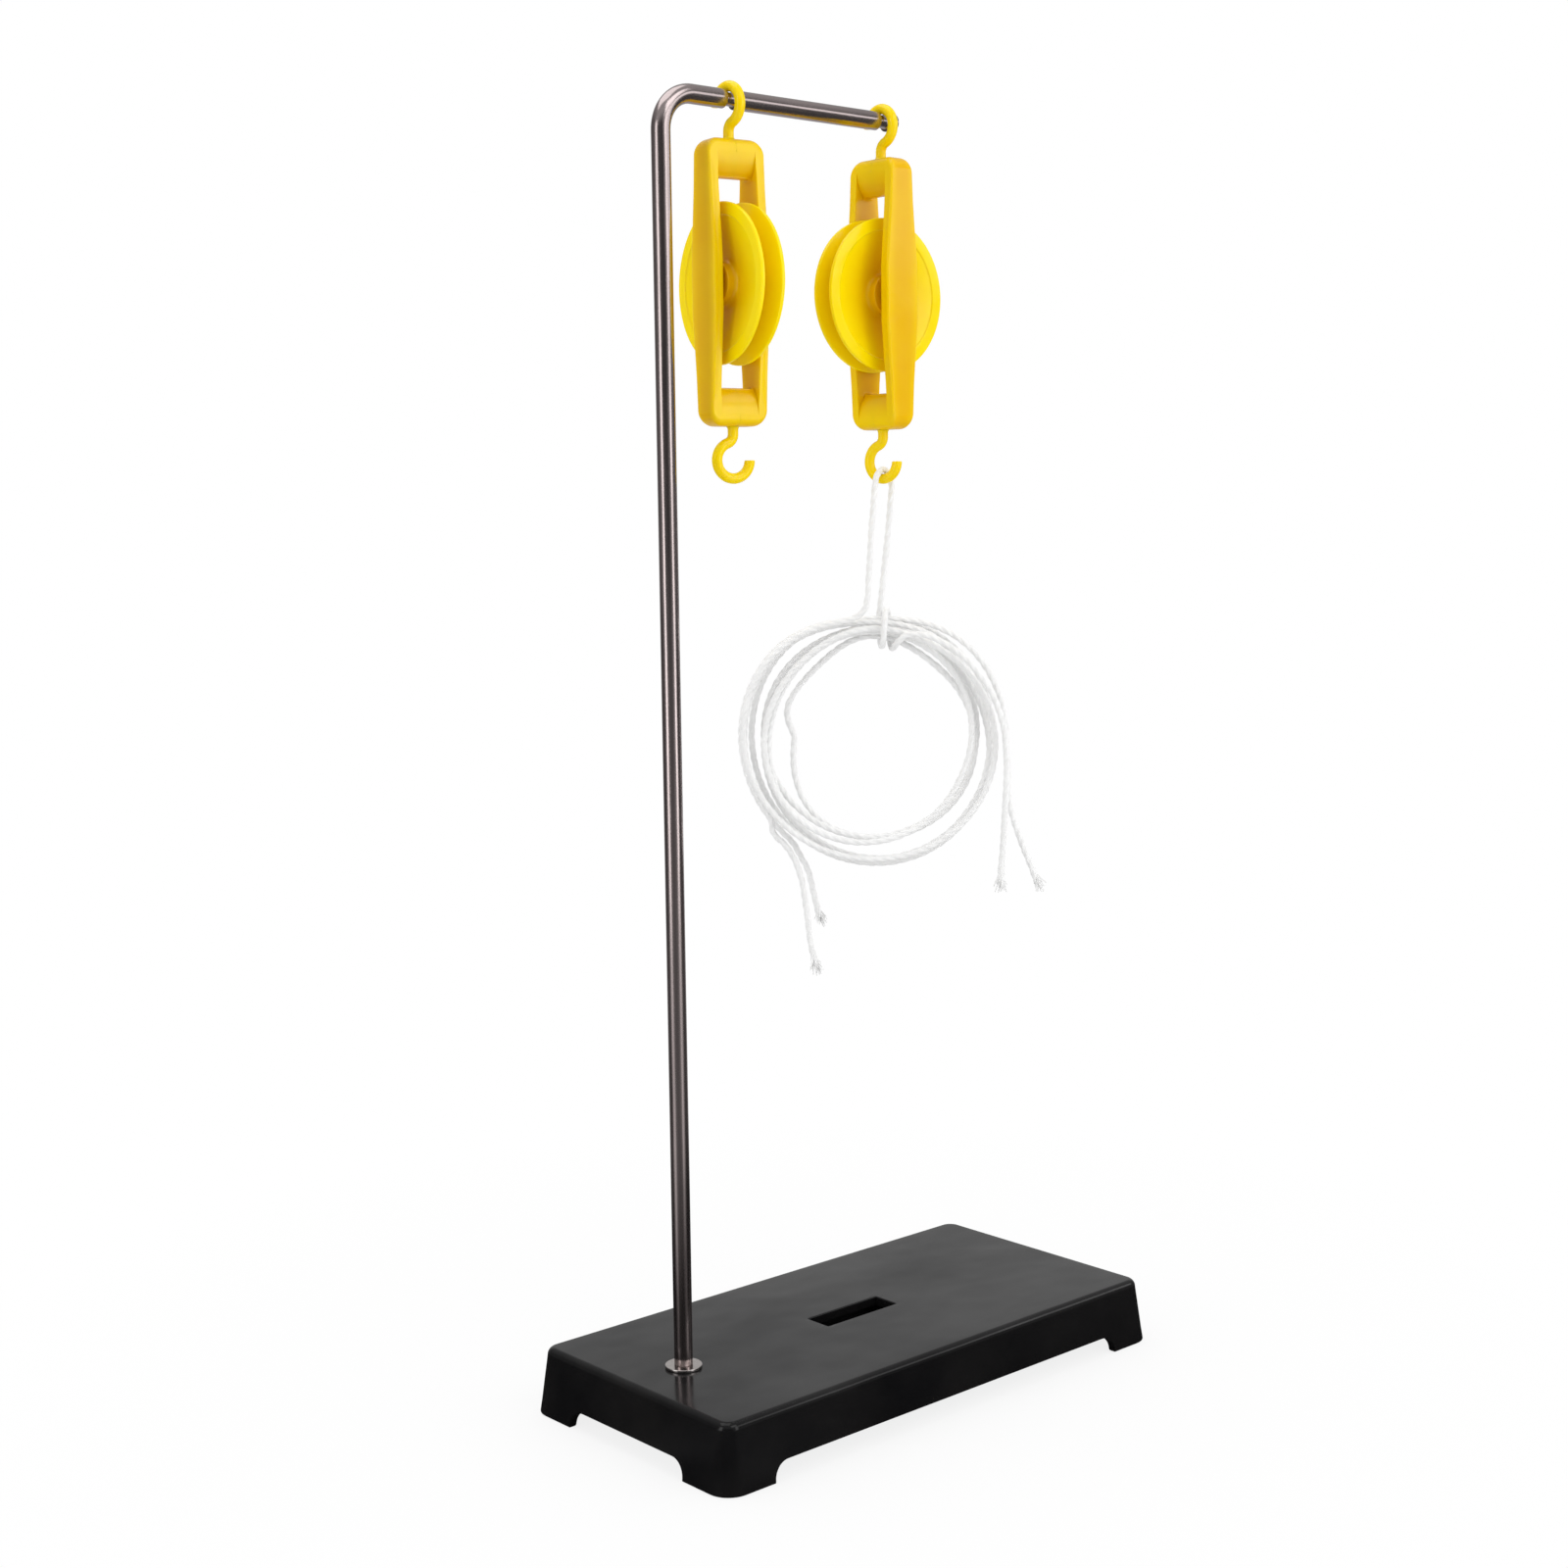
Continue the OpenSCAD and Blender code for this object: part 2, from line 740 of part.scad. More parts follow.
module string_2_left_end() {
    tube([
        coil_start(coil_2), coil_start(coil_2) - string_d * way(coil_2[0], coil_2),
        [-29.4, 4.2, -133.6], [-27, 4, -138.2], [-25.6, 3.6, -143.6], [-24.4, 3.2, -149], [-23, 3, -154],
        [-21.6, 3, -158.6]
    ], string_sides, [0, 1, 0]);
}

module string_2_coil() {
    tube(coil_points(coil_2), coil_sides, [0, 1, 0]);
}

module string_2_right_end() {
    tube([
        coil_end(coil_2), coil_end(coil_2) + string_d * way(coil_2[1], coil_2),
        [41.6, 1.4, -104.4], [41.6, 1.2, -110], [42.2, 1, -116], [43.8, 0.8, -122.5],
        [46, 0.6, -129], [48.4, 0.4, -135], [50.8, 0.2, -141], [53, 0, -146.5]
    ], string_sides, [0, 1, 0]);
}

union() {
    echo(str("string 1 coil, least gap to itself ", least_gap(coil_points(coil_1), 12)));
    echo(str("string 2 coil, least gap to itself ", least_gap(coil_points(coil_2), 12)));
}

base();
post();
post_washer();
under_washer();
lock_washer();
post_nut();
left_cheek_front();
left_cheek_back();
left_axle();
left_sheave();
left_top_hook();
left_bottom_hook();
right_cheek_front();
right_cheek_back();
right_axle();
right_sheave();
right_top_hook();
right_bottom_hook();
string_1_short_end();
string_1_coil();
string_1_long_end();
string_2_left_end();
string_2_coil();
string_2_right_end();
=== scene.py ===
"""The looks of the pulley demonstrator: its finishes, softened edges and twisted strings."""

import math

import bmesh
import bpy
import numpy as np
from mathutils import Matrix, Vector


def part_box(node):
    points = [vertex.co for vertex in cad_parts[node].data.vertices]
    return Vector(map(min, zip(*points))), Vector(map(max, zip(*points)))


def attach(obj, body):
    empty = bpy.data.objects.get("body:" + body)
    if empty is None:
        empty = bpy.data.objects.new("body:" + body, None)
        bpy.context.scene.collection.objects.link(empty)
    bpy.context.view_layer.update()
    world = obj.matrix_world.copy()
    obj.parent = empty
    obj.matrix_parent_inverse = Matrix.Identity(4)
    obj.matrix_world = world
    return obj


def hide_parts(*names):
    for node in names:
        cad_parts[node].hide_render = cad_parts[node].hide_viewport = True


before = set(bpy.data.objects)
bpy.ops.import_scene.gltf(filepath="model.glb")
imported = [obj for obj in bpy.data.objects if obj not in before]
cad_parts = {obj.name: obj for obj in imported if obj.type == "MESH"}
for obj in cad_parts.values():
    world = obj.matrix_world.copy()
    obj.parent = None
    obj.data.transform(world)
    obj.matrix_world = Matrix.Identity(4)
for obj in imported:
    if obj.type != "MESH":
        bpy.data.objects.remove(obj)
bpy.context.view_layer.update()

MM = 0.001


# ---- Camera: the photograph's view ----

CAMERA_PLACE = (-0.52192, -0.55134, 0.29345)
CAMERA_PAN = -41.833
CAMERA_DIP = 6.672
CAMERA_ROLL = -0.745
CAMERA_LENS = 52.446


def make_camera():
    data = bpy.data.cameras.new("camera")
    data.sensor_width = 36
    data.lens = CAMERA_LENS
    camera = bpy.data.objects.new("camera", data)
    pan = Matrix.Rotation(math.radians(CAMERA_PAN), 4, "Z")
    tilt = Matrix.Rotation(math.radians(90 - CAMERA_DIP), 4, "X")
    roll = Matrix.Rotation(math.radians(CAMERA_ROLL), 4, "Z")
    camera.matrix_world = Matrix.Translation(CAMERA_PLACE) @ pan @ tilt @ roll
    bpy.context.scene.collection.objects.link(camera)
    bpy.context.scene.camera = camera
    bpy.context.scene.view_settings.view_transform = "Standard"


make_camera()


# ---- Places, in millimetres, read from the frame ----

def box_mm(name):
    low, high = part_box(name)
    return np.array(low) / MM, np.array(high) / MM


def middle_mm(name):
    low, high = box_mm(name)
    return (low + high) / 2


HOOK_WIRE_R = 1.675
HOOK_IN_R = 4
HOOK_R = HOOK_IN_R + HOOK_WIRE_R
HOOK_DROP = 10.5

POST_X = middle_mm("post_washer")[0]
LEFT_X = middle_mm("left_top_hook")[0]
RIGHT_X = middle_mm("right_top_hook")[0]
AXLE_Z = middle_mm("left_axle")[2]
BLOCK_TOP_Z = box_mm("left_cheek_front")[1][2]
BLOCK_BOTTOM_Z = box_mm("left_cheek_front")[0][2]
HOOK_BOTTOM_Z = box_mm("right_bottom_hook")[0][2] + HOOK_R + HOOK_WIRE_R


# ---- Meshes ----

def unit(vectors):
    vectors = np.asarray(vectors, float)
    return vectors / np.linalg.norm(vectors, axis=-1, keepdims=True)


def arc(start, end, count):
    """Evenly spaced angles in radians, between two that are given in degrees."""
    return np.radians(np.linspace(start, end, count))


def circle(count):
    """Evenly spaced angles once round, in radians."""
    return np.linspace(0, 2 * math.pi, count, endpoint=False)


def rounding_steps(radius, count, start=0, end=90):
    """Steps round a corner by angle: how far short of its two straight sides each one is."""
    return [(radius * (1 - math.sin(a)), radius * (1 - math.cos(a))) for a in arc(start, end, count)]


def grid_faces(rows, columns, start=0):
    """Quads of a grid of points. Each row joins its last point to its first."""
    across = np.arange(columns)
    following = (across + 1) % columns
    faces = []
    for row in range(rows - 1):
        low = start + row * columns
        high = low + columns
        faces += [(low + a, low + b, high + b, high + a) for a, b in zip(across, following)]
    return faces


def capped_faces(rows, columns, start=0):
    """A closed tube's quads and its two flat ends."""
    first = range(start, start + columns)
    last = range(start + (rows - 1) * columns, start + rows * columns)
    return grid_faces(rows, columns, start) + [tuple(first)[::-1], tuple(last)]


def looped_faces(rows, columns):
    """Quads of a grid whose last row also joins its first."""
    last = (rows - 1) * columns
    faces = grid_faces(rows, columns)
    for k in range(columns):
        following = (k + 1) % columns
        faces.append((last + k, last + following, following, k))
    return faces


def make_piece(name, points, faces, crease=None):
    """A mesh object from millimetres. Edges that turn by more than crease degrees stay sharp."""
    mesh = bpy.data.meshes.new(name)
    mesh.from_pydata((np.asarray(points) * MM).tolist(), [], [tuple(map(int, f)) for f in faces])
    shape = bmesh.new()
    shape.from_mesh(mesh)
    bmesh.ops.remove_doubles(shape, verts=shape.verts, dist=1e-7)
    bmesh.ops.recalc_face_normals(shape, faces=shape.faces)
    shape.to_mesh(mesh)
    shape.free()
    piece = bpy.data.objects.new(name, mesh)
    bpy.context.scene.collection.objects.link(piece)
    mesh.shade_smooth()
    if crease is not None:
        mesh.set_sharp_from_angle(angle=math.radians(crease))
    return piece


def dress(piece, material, slot, body, *replaced):
    """Gives a piece its finish and its body, and hides the solids that it stands for."""
    piece.data.materials.clear()
    piece.data.materials.append(material)
    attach(piece, body)
    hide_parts(*replaced)


def store_vectors(piece, name, millimetres):
    """Stores a vector at each point, for a material that follows the piece's shape."""
    stored = piece.data.attributes.new(name, "FLOAT_VECTOR", "POINT")
    stored.data.foreach_set("vector", (np.asarray(millimetres) * MM).ravel())


def keep_flats_flat(piece):
    """Lets large flat faces rule the shading of the narrow rounded edges beside them."""
    weighted = piece.modifiers.new("flats", "WEIGHTED_NORMAL")
    weighted.keep_sharp = True


def evenly(points, step):
    """Points a step apart along a line of close points."""
    gaps = np.linalg.norm(np.diff(points, axis=0), axis=1)
    along = np.concatenate([[0], np.cumsum(gaps)])
    where = np.linspace(0, along[-1], max(2, round(along[-1] / step) + 1))
    return np.stack([np.interp(where, along, points[:, k]) for k in range(3)], axis=1)


def curve_through(points, step, parts=16):
    """Points a step apart along a smooth curve through the given points."""
    points = np.asarray(points, float)
    gaps = np.linalg.norm(np.diff(points, axis=0), axis=1)[:, None]
    slopes = np.diff(points, axis=0) / gaps
    inner = (slopes[:-1] * gaps[1:] + slopes[1:] * gaps[:-1]) / (gaps[1:] + gaps[:-1])
    slopes = np.vstack([slopes[:1], inner, slopes[-1:]])
    t = np.linspace(0, 1, parts, endpoint=False)[:, None]
    fine = []
    for i, gap in enumerate(gaps):
        start = (2 * t**3 - 3 * t**2 + 1) * points[i] + (t**3 - 2 * t**2 + t) * gap * slopes[i]
        end = (3 * t**2 - 2 * t**3) * points[i + 1] + (t**3 - t**2) * gap * slopes[i + 1]
        fine.append(start + end)
    return evenly(np.vstack(fine + [points[-1:]]), step)


def frames_along(path, first):
    """Two directions square to a path at each point, turning as little as they can."""
    ways = unit(np.gradient(path, axis=0))
    side = np.asarray(first, float)
    sides = []
    for way in ways:
        side = unit(side - side @ way * way)
        sides.append(side)
    sides = np.array(sides)
    return sides, np.cross(ways, sides)


def swept_rings(path, radii, angles, first):
    """Rings across a path. radii and angles are (rings, sides) or stretch to it."""
    sides, ups = frames_along(path, first)
    shape = np.broadcast_shapes(np.shape(radii), np.shape(angles))
    radii = np.broadcast_to(radii, shape)[..., None]
    angles = np.broadcast_to(angles, shape)[..., None]
    rings = path[:, None] + radii * (np.cos(angles) * sides[:, None] + np.sin(angles) * ups[:, None])
    return rings.reshape(-1, 3)


def apart(line):
    """The points and the radii of a list of (point, radius)."""
    return np.array([point for point, _ in line], float), np.array([radius for _, radius in line])


def turned(degrees):
    angle = math.radians(degrees)
    return np.array([
        [math.cos(angle), -math.sin(angle), 0],
        [math.sin(angle), math.cos(angle), 0],
        [0, 0, 1],
    ])


# ---- Materials ----

def node(tree, kind, inputs=None, **settings):
    """A node with its settings. An input is a value, or another node's output to link."""
    made = tree.nodes.new(kind)
    for name, value in settings.items():
        setattr(made, name, value)
    for name, value in (inputs or {}).items():
        if isinstance(value, bpy.types.NodeSocket):
            tree.links.new(value, made.inputs[name])
        else:
            made.inputs[name].default_value = value
    return made


def new_material(name, **plain):
    """A material, its tree and its shader, which gets the values that are the same all over."""
    material = bpy.data.materials.new(name)
    material.use_nodes = True
    tree = material.node_tree
    shader = tree.nodes["Principled BSDF"]
    for socket, value in plain.items():
        shader.inputs[socket.replace("_", " ")].default_value = value
    return material, tree, shader


def link_shader(tree, shader, colour, roughness, normal):
    """Links a colour, a roughness and a normal to the shader."""
    tree.links.new(colour, shader.inputs["Base Color"])
    tree.links.new(roughness, shader.inputs["Roughness"])
    tree.links.new(normal, shader.inputs["Normal"])


def noise(tree, coordinates, scale, detail=3.0, roughness=0.5):
    made = node(tree, "ShaderNodeTexNoise", {
        "Vector": coordinates,
        "Scale": scale,
        "Detail": detail,
        "Roughness": roughness,
    })
    return made.outputs["Fac"]


def spread(tree, value, low=0, high=1, from_low=0.3, from_high=0.7):
    """Takes a value from one range to another, clamped."""
    made = node(tree, "ShaderNodeMapRange", {
        "Value": value,
        "From Min": from_low,
        "From Max": from_high,
        "To Min": low,
        "To Max": high,
    })
    return made.outputs["Result"]


def blend_colours(tree, share, first, second):
    """A blend of two colours. Each one is three numbers or another node's output."""
    made = node(tree, "ShaderNodeMix", {"Factor": share}, data_type="RGBA")
    for name, colour in (("A", first), ("B", second)):
        if isinstance(colour, bpy.types.NodeSocket):
            tree.links.new(colour, made.inputs[name])
        else:
            made.inputs[name].default_value = (*colour, 1)
    return made.outputs["Result"]


def of_two(tree, operation, first, second):
    """The sum, product or other operation of two values."""
    return node(tree, "ShaderNodeMath", {0: first, 1: second}, operation=operation).outputs["Value"]


def streaks(tree, coordinates, scales, detail, roughness=0.5):
    """Noise with a scale of its own along each axis."""
    made = node(tree, "ShaderNodeVectorMath", {0: coordinates, 1: scales}, operation="MULTIPLY")
    return noise(tree, made.outputs["Vector"], 1.0, detail, roughness)


def bump(tree, height, depth, under=None):
    """A bump of the given depth in metres, over another one if that is given."""
    inputs = {"Height": height, "Distance": depth}
    if under is not None:
        inputs["Normal"] = under
    return node(tree, "ShaderNodeBump", inputs).outputs["Normal"]


def object_coordinates(tree):
    return node(tree, "ShaderNodeTexCoord").outputs["Object"]


def cotton_material():
    """Soft white cotton: fine fibres that follow the twist, uneven in tone."""
    material, tree, shader = new_material(
        "cotton", Sheen_Weight=0.3, Sheen_Roughness=0.5, Specular_IOR_Level=0.15, Roughness=0.85)
    lay = node(tree, "ShaderNodeAttribute", attribute_name="lay").outputs["Vector"]
    fibres = streaks(tree, lay, (9000, 9000, 700), 4)
    slubs = streaks(tree, lay, (300, 300, 60), 2)
    tone = blend_colours(tree, spread(tree, slubs), (0.86, 0.859, 0.855), (0.90, 0.90, 0.897))
    tree.links.new(tone, shader.inputs["Base Color"])
    tree.links.new(bump(tree, fibres, 0.00002), shader.inputs["Normal"])
    return material


# ---- Strings, in millimetres in the coil's own plane: right, away and up from the hook's centre ----

STRING_D = 2.2
RING_STEP = 0.6
PLIES = 3
PLY_R = 0.7
PLY_OUT = 0.4
TWIST_PITCH = 11
FRAY_LEN = 9
FRAY_STRANDS = 44
FRAY_SPREAD = 2.4
STRING_TURN = -44
COIL_U = -4
COIL_Z = -93.65
COIL_IN_R = 31
COIL_OUT_R = 46
NEST_IN = 2
NEST_OUT = 1.5
LAYER = 2.8
SLACK = 1.4
SLACK_RATE = 1.7
CLIMB_ANGLE = 180
PINCH = 0.56
PINCH_WIDTH = 32
KINK = 6
KINK_AT = 720
KINK_BEFORE = 45
KINK_AFTER = 14
COIL_STEP = 6

# Each string's loops run clockwise from the left: from and to which angle, from and to which layer,
# the least and greatest radius, the kink
COIL_1 = (-30, 1155, -LAYER / 2, -LAYER * 3 / 2, COIL_IN_R + NEST_IN, COIL_OUT_R - NEST_OUT, 0)
COIL_2 = (-45, 1620, LAYER * 3 / 2, LAYER / 2, COIL_IN_R, COIL_OUT_R, KINK)

SHORT_END_1 = [
    (-38.4, -1.4, -124.6), (-34, -1.6, -129.4), (-30.8, -1.8, -135), (-28.8, -2, -141.4), (-27.8, -2.2, -148),
    (-27, -2.4, -155), (-26.2, -2.4, -162), (-24.8, -2.4, -168), (-22.5, -2.4, -174),
]
# Up over the hook, down behind the coil, once round it, then along its right side
LONG_END_1 = [
    (-7, -4.4, -49.5), (-5.6, -4.5, -45), (-5.2, -4.5, -39), (-4.8, -4.4, -33), (-4.4, -4.3, -27),
    (-4, -4.1, -21), (-3.4, -3.9, -15), (-2.7, -3.5, -7), (-1.9, -2.5, -4), (0, 0, -2.7),
    (1.9, 2.5, -4), (2.7, 3.5, -7), (2.4, 3.9, -13), (1.8, 4.5, -20), (1.1, 5.2, -27),
    (0.3, 5.9, -34), (-0.5, 6.5, -41), (-1.3, 6.9, -48), (-1.9, 7, -54), (-1.5, 6, -59.6),
    (-1.1, 2, -61.4), (-0.9, -2, -61.4), (-0.6, -6, -59.6), (-0.2, -7, -55.4), (0.2, -6, -51.2),
    (0.5, -2, -49.4), (0.9, 2, -49.4), (1.2, 6, -51.2), (1.6, 7, -55.4), (1.9, 6.2, -60),
    (2.3, 2.4, -62.1), (2.8, -2, -62.1), (4, -5.8, -60.4), (7, -7.2, -57.8), (13, -7.4, -57.6),
    (19, -7.4, -60), (25, -7.4, -64), (30, -7.4, -69), (34.4, -7.4, -75), (37.6, -7.4, -82),
    (39.6, -7.4, -89), (40.4, -7.2, -96), (40.6, -7, -103), (40.4, -6.8, -110), (40, -6.6, -117),
    (39.6, -6.4, -124), (39.2, -6.2, -131), (38.7, -6, -138), (38.9, -6, -145.5),
]
LEFT_END_2 = [
    (-29.4, 4.2, -133.6), (-27, 4, -138.2), (-25.6, 3.6, -143.6), (-24.4, 3.2, -149), (-23, 3, -154),
    (-21.6, 3, -158.6),
]
RIGHT_END_2 = [
    (41.6, 1.4, -104.4), (41.6, 1.2, -110), (42.2, 1, -116), (43.8, 0.8, -122.5),
    (46, 0.6, -129), (48.4, 0.4, -135), (50.8, 0.2, -141), (53, 0, -146.5),
]


def on_coil(degrees, coil):
    """A point of a coil's loops, which spiral in and out and are drawn together at the top."""
    start, end, low, high, in_r, out_r, kink = coil
    from_top = (degrees - 90 + 180) % 360 - 180
    pinched = math.exp(-(from_top / PINCH_WIDTH) ** 2)
    past = degrees - KINK_AT
    kinked = math.exp(-(past / (KINK_BEFORE if past < 0 else KINK_AFTER)) ** 2)
    mean = (COIL_IN_R + COIL_OUT_R) / 2
    spiral = in_r + (out_r - in_r) * abs(2 * (degrees - start) / (end - start) - 1)
    wander = SLACK * (1 - pinched) * math.sin(math.radians(SLACK_RATE * degrees))
    radius = mean + (spiral - mean) * (1 - PINCH * pinched) + wander - kink * kinked
    share = min(1, max(0, (degrees - (start + end) / 2) / CLIMB_ANGLE + 0.5))
    away = low + (high - low) * (1 - math.cos(math.pi * share)) / 2
    angle = math.radians(degrees)
    return np.array([COIL_U - radius * math.cos(angle), away, COIL_Z + radius * math.sin(angle)])


def coil_way(degrees):
    angle = math.radians(degrees)
    return np.array([math.sin(angle), 0, math.cos(angle)])


def string_path(first_end, coil, last_end):
    """A string's way in the frame, from one tip through its loops to the other."""
    start, end = coil[:2]
    loops = [on_coil(a, coil) for a in np.arange(start, end + 0.1, COIL_STEP)]
    lead_in = [loops[0] - k * STRING_D * coil_way(start) for k in (2, 1)]
    lead_out = [on_coil(end, coil) + k * STRING_D * coil_way(end) for k in (1, 2)]
    points = np.array([*first_end[::-1], *lead_in, *loops, *lead_out, *last_end], float)
    hook = np.array([RIGHT_X, 0, HOOK_BOTTOM_Z])
    return hook + curve_through(points, RING_STEP) @ turned(STRING_TURN).T


def ply_outline():
    """Angles and radii of the string's section, which has a round lobe for each ply."""
    lobe = np.radians(np.arange(-60, 60, 20))
    radii = PLY_OUT * np.cos(lobe) + np.sqrt(PLY_R**2 - (PLY_OUT * np.sin(lobe)) ** 2)
    angles = np.concatenate([lobe + 2 * math.pi * k / PLIES for k in range(PLIES)])
    return angles, np.tile(radii, PLIES)


def slow_wave(generator, count, length):
    """Smooth random numbers about 0 that change over length rings."""
    knots = generator.normal(0, 1, count // length + 3)
    return np.interp(np.arange(count) / length, np.arange(len(knots)), knots)


def fray(generator, path):
    """Loose fibres along a path, as the points, faces and lay of thin tapered tubes."""
    sides, ups = frames_along(path, (0, 0, 1))
    points = []
    faces = []
    lays = []
    corners = np.radians(np.arange(0, 360, 72))
    for _ in range(FRAY_STRANDS):
        angle = generator.uniform(0, 2 * math.pi)
        start_r = generator.uniform(0.1, 0.8)
        end_r = start_r + generator.uniform(0.1, 1) ** 2 * FRAY_SPREAD
        count = int(len(path) * generator.uniform(0.55, 1))
        share = np.linspace(0, 1, count)
        swirl = angle + generator.uniform(0.2, 1.6) * share
        out = start_r + (end_r - start_r) * share**1.6
        line = path[:count] + out[:, None] * (
            np.cos(swirl)[:, None] * sides[:count] + np.sin(swirl)[:, None] * ups[:count])
        radii = generator.uniform(0.24, 0.38) * (1 - 0.6 * share**2)
        rings = swept_rings(line, radii[:, None], corners[None], (0, 0, 1))
        faces += capped_faces(count, len(corners), len(points))
        points += rings.tolist()
        for along in np.repeat(share, len(corners)):
            lays.append((out[0], angle, along * FRAY_LEN))
    return points, faces, lays


COTTON = cotton_material()


def make_string(name, path, seed, *parts):
    """A twisted string along a path, frayed at both ends. It stands for that string's parts."""
    generator = np.random.default_rng(seed)
    frayed = round(FRAY_LEN / RING_STEP)
    body = path[frayed // 2:-(frayed // 2)]
    count = len(body)
    along = np.arange(count) * RING_STEP
    angles, radii = ply_outline()
    twist = 2 * math.pi * (along / TWIST_PITCH + 0.03 * slow_wave(generator, count, 30))
    to_end = np.minimum(along, along[-1] - along)
    swell = 1 + 0.03 * slow_wave(generator, count, 9) + 0.22 * np.exp(-(to_end / 3.5) ** 2)
    rings = swept_rings(body, swell[:, None] * radii[None], twist[:, None] + angles[None], (0, 0, 1))
    points = rings.tolist()
    faces = capped_faces(count, len(angles))
    around = np.tile(angles, count)
    lays = list(zip(np.cos(around), np.sin(around), np.repeat(along, len(angles))))
    for end in (path[:frayed][::-1], path[-frayed:]):
        more, quads, more_lays = fray(generator, end)
        faces += [tuple(corner + len(points) for corner in face) for face in quads]
        points += more
        lays += more_lays
    piece = make_piece(name, points, faces)
    store_vectors(piece, "lay", lays)
    dress(piece, COTTON, "cotton_string", "right_load_hook", *(f"{name}_{part}" for part in parts))


path_1 = string_path(SHORT_END_1, COIL_1, LONG_END_1)
path_2 = string_path(LEFT_END_2, COIL_2, RIGHT_END_2)
make_string("string_1", path_1, 3, "short_end", "coil", "long_end")
make_string("string_2", path_2, 5, "left_end", "coil", "right_end")


# ---- Yellow plastic ----

def yellow_material():
    """Glossy yellow plastic, lemon to amber by a stored share that is partly the plastic's thickness and
    partly painted shade: darker amber where shade falls, lemon where light comes through.
    """
    material, tree, shader = new_material(
        "yellow_plastic", Subsurface_Weight=0.35, Subsurface_Scale=0.0012, Specular_IOR_Level=0.35)
    shader.inputs["Subsurface Radius"].default_value = (1.0, 0.8, 0.1)
    here = object_coordinates(tree)
    # The stored share is partly thickness and partly painted shade and glow.
    warm = node(tree, "ShaderNodeAttribute", attribute_name="warm").outputs["Fac"]
    cloud = spread(tree, noise(tree, here, 60, 3), -0.07, 0.07)
    tone = blend_colours(tree, of_two(tree, "ADD", warm, cloud), (0.97, 0.76, 0.001), (0.80, 0.45, 0.0005))
    smear = streaks(tree, here, (260, 260, 90), 4)
    skin = bump(tree, noise(tree, here, 1300, 3), 0.000006)
    sink = bump(tree, noise(tree, here, 150, 2), 0.00012, skin)
    link_shader(tree, shader, tone, spread(tree, smear, 0.12, 0.22), sink)
    return material


YELLOW = yellow_material()


def add_amber_and_shade(piece, amount, x, turn):
    """Stores a share from lemon to amber at each point, from its place about the block's middle: partly how
    thick the plastic is, partly painted shade and painted glow.
    """
    places = np.empty(len(piece.data.vertices) * 3)
    piece.data.vertices.foreach_get("co", places)
    local = (places.reshape(-1, 3) / MM - [x, 0, AXLE_Z]) @ turned(turn)
    warm = piece.data.attributes.new("warm", "FLOAT", "POINT")
    warm.data.foreach_set("value", np.clip(amount(local), 0.07, 1))


def rounded_corners(corners, steps=5):
    """A closed outline from (x, y, radius) corners. Each radius keeps to the room that it has."""
    outline = []
    count = len(corners)
    for i, (x, y, radius) in enumerate(corners):
        here = np.array([x, y], float)
        to_last = np.array(corners[i - 1][:2]) - here
        to_next = np.array(corners[(i + 1) % count][:2]) - here
        room = min(np.linalg.norm(to_last), np.linalg.norm(to_next)) / 2
        to_last = unit(to_last)
        to_next = unit(to_next)
        half = math.acos(max(-1, min(1, to_last @ to_next))) / 2
        cut = min(radius / math.tan(half), room)
        radius = cut * math.tan(half)
        centre = here + unit(to_last + to_next) * radius / math.sin(half)
        first = here + cut * to_last - centre
        last = here + cut * to_next - centre
        swing = math.atan2(first[0] * last[1] - first[1] * last[0], first @ last)
        for share in np.linspace(0, 1, steps + 1):
            outline.append(centre + turned(math.degrees(swing * share))[:2, :2] @ first)
    return np.array(outline)


def lathe(outline, segments=160):
    """The points and faces of a closed outline of (radius, height) turned about the Z axis."""
    around = circle(segments)
    rings = np.stack([
        np.outer(np.cos(around), outline[:, 0]),
        np.outer(np.sin(around), outline[:, 0]),
        np.tile(outline[:, 1], (segments, 1)),
    ], axis=2).reshape(-1, 3)
    return rings, looped_faces(segments, len(outline))


SHEAVE_R = 25
RIM_X = 4.3
FLANGE_T = 1.2
RIGHT_SLIDE = 1.7
LEFT_TURN = -9
RIGHT_TURN = 89
LEFT_HOOK_TURN = -15
RIGHT_HOOK_TURN = -81


def in_block(points, x, turn, z=AXLE_Z):
    """Moves points drawn about a block's middle to their place in the frame."""
    return points @ turned(turn).T + [x, 0, z]


def sheave_outline():
    """Half of the wheel's section from bore to groove, then its mirror."""
    half = [
        (2.06, 5, 0.2), (6.5, 5, 0.45), (6.5, 1.5, 1.6), (20.8, 3.88, 0.3), (21.15, RIM_X, 0.3),
        (SHEAVE_R, RIM_X, 0.5), (SHEAVE_R, RIM_X - FLANGE_T, 0.3), (12.5, 0.5, 0.45),
    ]
    return rounded_corners(half + [(r, -h, rounding) for r, h, rounding in half[::-1]])


def make_sheave(side, x, turn, slide):
    points, faces = lathe(sheave_outline())
    points = points[:, [2, 0, 1]] + [slide, 0, 0]
    piece = make_piece(f"{side}_grooved_wheel", in_block(points, x, turn), faces, 50)
    # Painted shade: amber deepens towards the hub, partly for the thick hub and partly for the shade between
    # the flanges and beside the strap.
    add_amber_and_shade(piece, lambda p: (17 - np.hypot(p[:, 1], p[:, 2])) / 11, x, turn)
    dress(piece, YELLOW, "yellow_plastic", f"{side}_wheel", f"{side}_sheave")


make_sheave("left", LEFT_X, LEFT_TURN, 0)
make_sheave("right", RIGHT_X, RIGHT_TURN, RIGHT_SLIDE)


# ---- Hooks: drawn with the block above the origin and the hook below, tip towards +X ----

